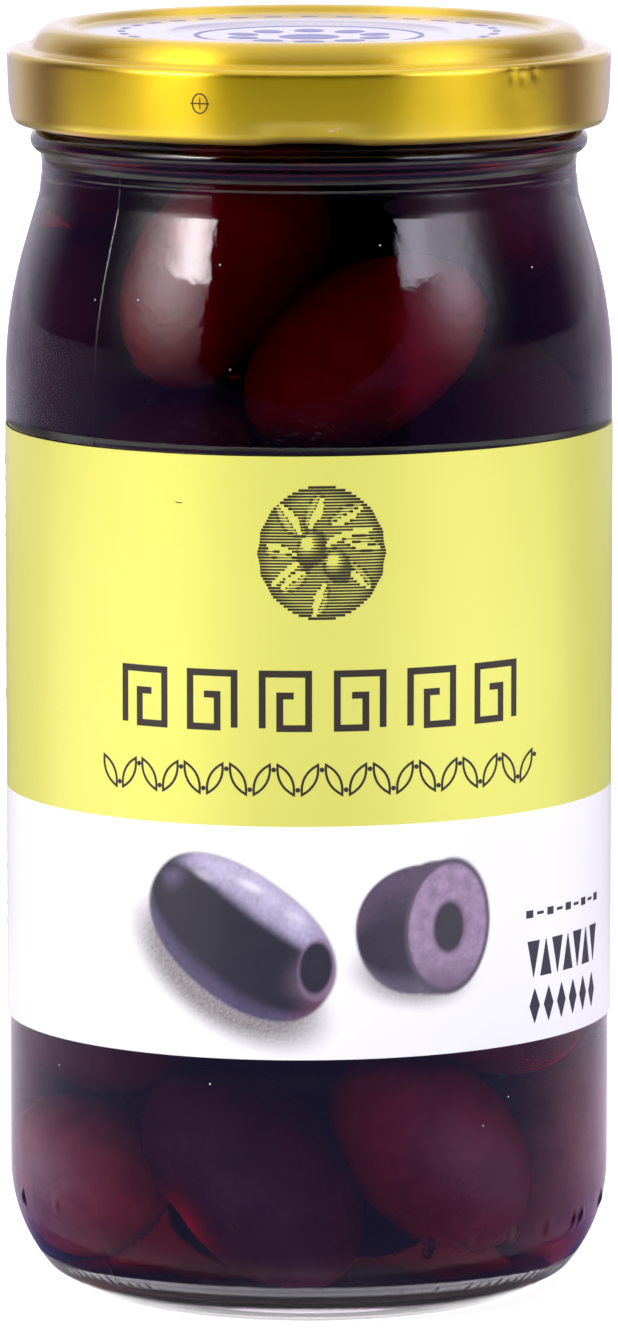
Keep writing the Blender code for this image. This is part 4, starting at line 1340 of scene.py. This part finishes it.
def glow_material(name, strength=1.0, layer=None):
    """A plain glow on the front of its faces, coloured by a vertex colour; the back lets light through."""
    material = bpy.data.materials.new(name)
    material.use_nodes = True
    tree = material.node_tree
    tree.nodes.clear()
    glow = add_node(tree, "ShaderNodeEmission", {"Strength": strength})
    if layer:
        feed(glow.inputs["Color"], vertex_colour(tree, layer)["Color"])
    behind = output(tree, "ShaderNodeNewGeometry", "Backfacing")
    clear = output(tree, "ShaderNodeBsdfTransparent", 0)
    sides = output(tree, "ShaderNodeMixShader", 0, {0: behind, 1: glow.outputs[0], 2: clear})
    add_node(tree, "ShaderNodeOutputMaterial", {"Surface": sides})
    return material


def make_floor():
    """A pale table that the camera sees as white, with the jar's soft contact shadow, and painted shade in
    its colour under the jar. Through glass it glows outside the foot, and glass mirrors a bright narrow ring
    of it under the heel."""
    material, tree, shader = new_material("floor_white", Roughness=0.8)
    ray = add_node(tree, "ShaderNodeLightPath").outputs
    straight = compute("SUBTRACT", 1.0, compute("MINIMUM", ray["Diffuse Depth"], 1.0))
    through_glass = times(ray["Is Transmission Ray"], straight)
    reach = output(tree, "ShaderNodeVectorMath", "Value", {0: object_coordinates(tree)}, operation="LENGTH")
    open_table = fade(reach, *FLOOR_SHADED)
    # painted shade: the table is coloured dark under the jar
    feed(shader.inputs["Base Color"], mixed(tree, open_table, UNDER_JAR_PAINTED_SHADE, TABLE_WHITE))
    lift = times(ray["Is Camera Ray"], FLOOR_LIFT)
    lift = compute("MAXIMUM", lift, times(through_glass, times(open_table, FLOOR_THROUGH_GLASS)))
    ring = compute("SUBTRACT", fade(reach, *FOOT_WHITE[0]), fade(reach, *FOOT_WHITE[1]))
    lift = compute("MAXIMUM", lift, times(ring, ray["Is Glossy Ray"], FOOT_WHITE_GLOW))
    feed(shader.inputs["Emission Strength"], lift)
    tint = mixed(tree, through_glass, (1.0, 1.0, 1.0, 1.0), THROUGH_GLASS_TINT)
    feed(shader.inputs["Emission Color"], tint)
    rim = [(TABLE_RADIUS * math.cos(turn), TABLE_RADIUS * math.sin(turn), 0.0) for turn in even_turns(96)]
    add_piece("floor", rim, [range(len(rim))], (material,))


def mirrored_glow(turned, distance):
    """What glass and foil mirror of the table: dark right at the foot, a dim blue zone close by, a
    brighter one further out that dims in the middle, dusk far off in front, and pale light behind."""
    edge = 32.0 + 6.0 * smooth_step(0.45, 0.66, distance)
    lit = smooth_step(edge - 4.0, edge + 4.0, turned)
    far = smooth_step(*MIDDLE_END, distance)
    middle = smooth_step(*NEAR_END, distance) * (1.0 - far)
    near_colour = blend(NEAR_TINT, NEAR_SIDE_TINT, smooth_step(86.0, 122.0, turned))
    near_colour = near_colour * (0.5 + 0.5 * smooth_step(*FOOT_DUSK, distance))
    side = MIDDLE_GLOW * (0.22 + 0.78 * smooth_step(122.0, 96.0, turned))
    bulge = smooth_step(0.64, 0.46, distance) * smooth_step(0.30, 0.40, distance)
    middle_colour = np.ones(3) * blend(CENTRE_GLOW * (1.0 + 0.95 * bulge), side, lit)
    far_colour = np.array(FAR_TINT) * (0.3 + 0.7 * lit)
    front = middle_colour * middle + far_colour * far + near_colour * max(0.0, 1.0 - middle - far)
    behind = blend(*BEHIND_TINTS[:2], smooth_step(0.18, 0.27, distance))
    behind = blend(behind, BEHIND_TINTS[2], smooth_step(0.62, 0.7, distance))
    return blend(front, behind, smooth_step(*WALL_TURN, turned))


def table_light(turned, distance):
    """What the table sends up to dull surfaces: plain white light."""
    return np.ones(3) * TABLE_LIGHT * smooth_step(0.036, 0.075, distance) * smooth_step(2.2, 1.0, distance)


def make_table_card(name, glow):
    """A disc just above the table that glows upwards, brightness and tint by turn and distance."""
    near = *np.linspace(0.031, 0.055, 9), *np.linspace(0.06, 0.3, 19)
    distances = *near, *np.linspace(0.34, 1.0, 20), 1.4, 2.2, 3.6, 5.5
    turns = even_turns(180)
    profile = [(distance, CARD_HEIGHT) for distance in distances]
    card = lathe(name, profile, turns, (glow_material(name, layer="glow"),))
    turned = np.abs(np.degrees(angle_apart(turns, 0.0)))
    colour_points(card, "glow", [(*glow(turn, distance), 1.0) for distance in distances for turn in turned])
    card.visible_camera = False
    card.visible_shadow = False
    card.visible_transmission = False
    return card


def make_table_cards():
    """One card for what is mirrored and one for plain light, each unseen by the other kind of ray."""
    mirrored = make_table_card("table_mirrored", mirrored_glow)
    mirrored.visible_diffuse = False
    light = make_table_card("table_light", table_light)
    light.visible_glossy = False
    light.location.z = CARD_HEIGHT


def make_black_flag():
    """A black cloth behind the camera, between the two lamps, with a ragged lower edge."""
    distance, top, pivot = 1.0, 0.9, 0.103
    lower, upper = [], []
    for azimuth in np.linspace(-41.0, 38.0, 80):
        bow = 0.0055 if azimuth < -5.0 else 0.009
        ragged = 0.9 * noise.noise(Vector((azimuth * 0.35, 0.0, 4.0)))
        rise = math.radians(-5.0 + bow * (azimuth + 5.0) ** 2 + ragged)
        turn = math.radians(azimuth)
        lower.append(round_point(distance, turn, max(0.003, pivot + distance * math.tan(rise))))
        upper.append(round_point(distance, turn, top))
    count = len(lower)
    faces = [(count + k, count + k + 1, k + 1, k) for k in range(count - 1)]
    flag = add_piece("black_flag", lower + upper, faces, (glow_material("flag_black", 0.0),))
    flag.visible_camera = False
    flag.visible_shadow = False


def background(tree, colour, strength=1.0):
    return output(tree, "ShaderNodeBackground", 0, {"Color": (*colour, 1.0), "Strength": strength})


def lamp_glow(tree, azimuth, elevation, cut, core, halo, tint):
    """A soft lamp at one front corner, cut off towards the camera: a hot core above a halo that fades
    downwards. Azimuth counts towards the lamp's own side."""
    hot = times(bell(azimuth, *core[:2]), core[2], between(elevation, *CORE_RISE))
    drop = bell(compute("MINIMUM", elevation, HALO_RISE), HALO_RISE, HALO_DROP)
    soft = times(bell(azimuth, *halo[:2]), halo[2], drop, between(elevation, -90.0, HALO_TOP, 8.0))
    return background(tree, tint, times(compute("ADD", hot, soft), compute("GREATER_THAN", azimuth, cut)))


def make_world():
    """Two lamps at the front corners, a wide box over each, a wall behind that is brightest straight
    behind, and a pale ceiling. The camera sees only white."""
    world = bpy.data.worlds.new("studio")
    bpy.context.scene.world = world
    world.use_nodes = True
    tree = world.node_tree
    direction = output(tree, "ShaderNodeTexCoord", "Generated")
    parts = add_node(tree, "ShaderNodeSeparateXYZ", {0: direction}).outputs
    azimuth = compute("DEGREES", compute("ARCTAN2", parts["X"], times(parts["Y"], -1.0)))
    elevation = compute("DEGREES", compute("ARCSINE", parts["Z"]))
    turned = compute("ABSOLUTE", azimuth)
    wall = times(fade(turned, *WALL_TURN), WALL_GLOW)
    wall = compute("MAXIMUM", wall, times(fade(turned, *STRAIGHT_BACK), BACK_GLOW))
    ceiling = times(fade(elevation, *CEILING_RISE), CEILING_GLOW)
    loss = times(compute("LESS_THAN", azimuth, 0.0), SIDE_BOX * LEFT_BOX_LOSS)
    box = times(between(turned, *SIDE_BOX_TURN), compute("SUBTRACT", SIDE_BOX, loss))
    box = times(box, between(elevation, *SIDE_BOX_RISE))
    white = tree.nodes["Background"]
    white.inputs["Color"].default_value = STUDIO_TINT
    feed(white.inputs["Strength"], compute("MAXIMUM", box, compute("MAXIMUM", wall, ceiling)))
    studio = white.outputs[0]
    lamps = (times(azimuth, -1.0), LEFT_LAMP), (azimuth, RIGHT_LAMP)
    glows = [lamp_glow(tree, own_azimuth, elevation, **lamp) for own_azimuth, lamp in lamps]
    for glow in (background(tree, DIM_TINT), *glows):
        studio = output(tree, "ShaderNodeAddShader", 0, {0: studio, 1: glow})
    seen = output(tree, "ShaderNodeLightPath", "Is Camera Ray")
    backdrop = background(tree, (1.0, 1.0, 1.0))
    shown = output(tree, "ShaderNodeMixShader", 0, {0: seen, 1: studio, 2: backdrop})
    feed(tree.nodes["World Output"].inputs["Surface"], shown)


def make_camera():
    data = bpy.data.cameras.new("camera")
    data.sensor_fit = "VERTICAL"
    data.sensor_height = SENSOR_HEIGHT
    data.lens = SENSOR_HEIGHT * FOCAL_PIXELS / FRAME_HEIGHT
    data.clip_start = 0.05
    data.clip_end = 50.0
    camera = bpy.data.objects.new("camera", data)
    bpy.context.scene.collection.objects.link(camera)
    camera.location = (0.0, -CAMERA_DISTANCE, CAMERA_HEIGHT)
    camera.rotation_euler = (math.radians(90.0 - CAMERA_PITCH), 0.0, 0.0)
    bpy.context.scene.camera = camera


def main():
    bpy.context.scene.view_settings.view_transform = "Standard"
    make_camera()
    make_world()
    make_floor()
    make_table_cards()
    make_black_flag()
    pieces = (
        (make_glass(), "glass_jar", "glass"),
        (make_cap(), "lid", "gold_cap"),
        (make_label(), "label", "label_paper"),
        (make_olives(), "olives", "olive_skin"),
    )
    for piece, node, slot in pieces:
        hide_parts(node)
        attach(piece, "root")
    for piece in (make_brine(), make_specks(), make_label_print(), make_cap_print()):
        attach(piece, "root")


main()
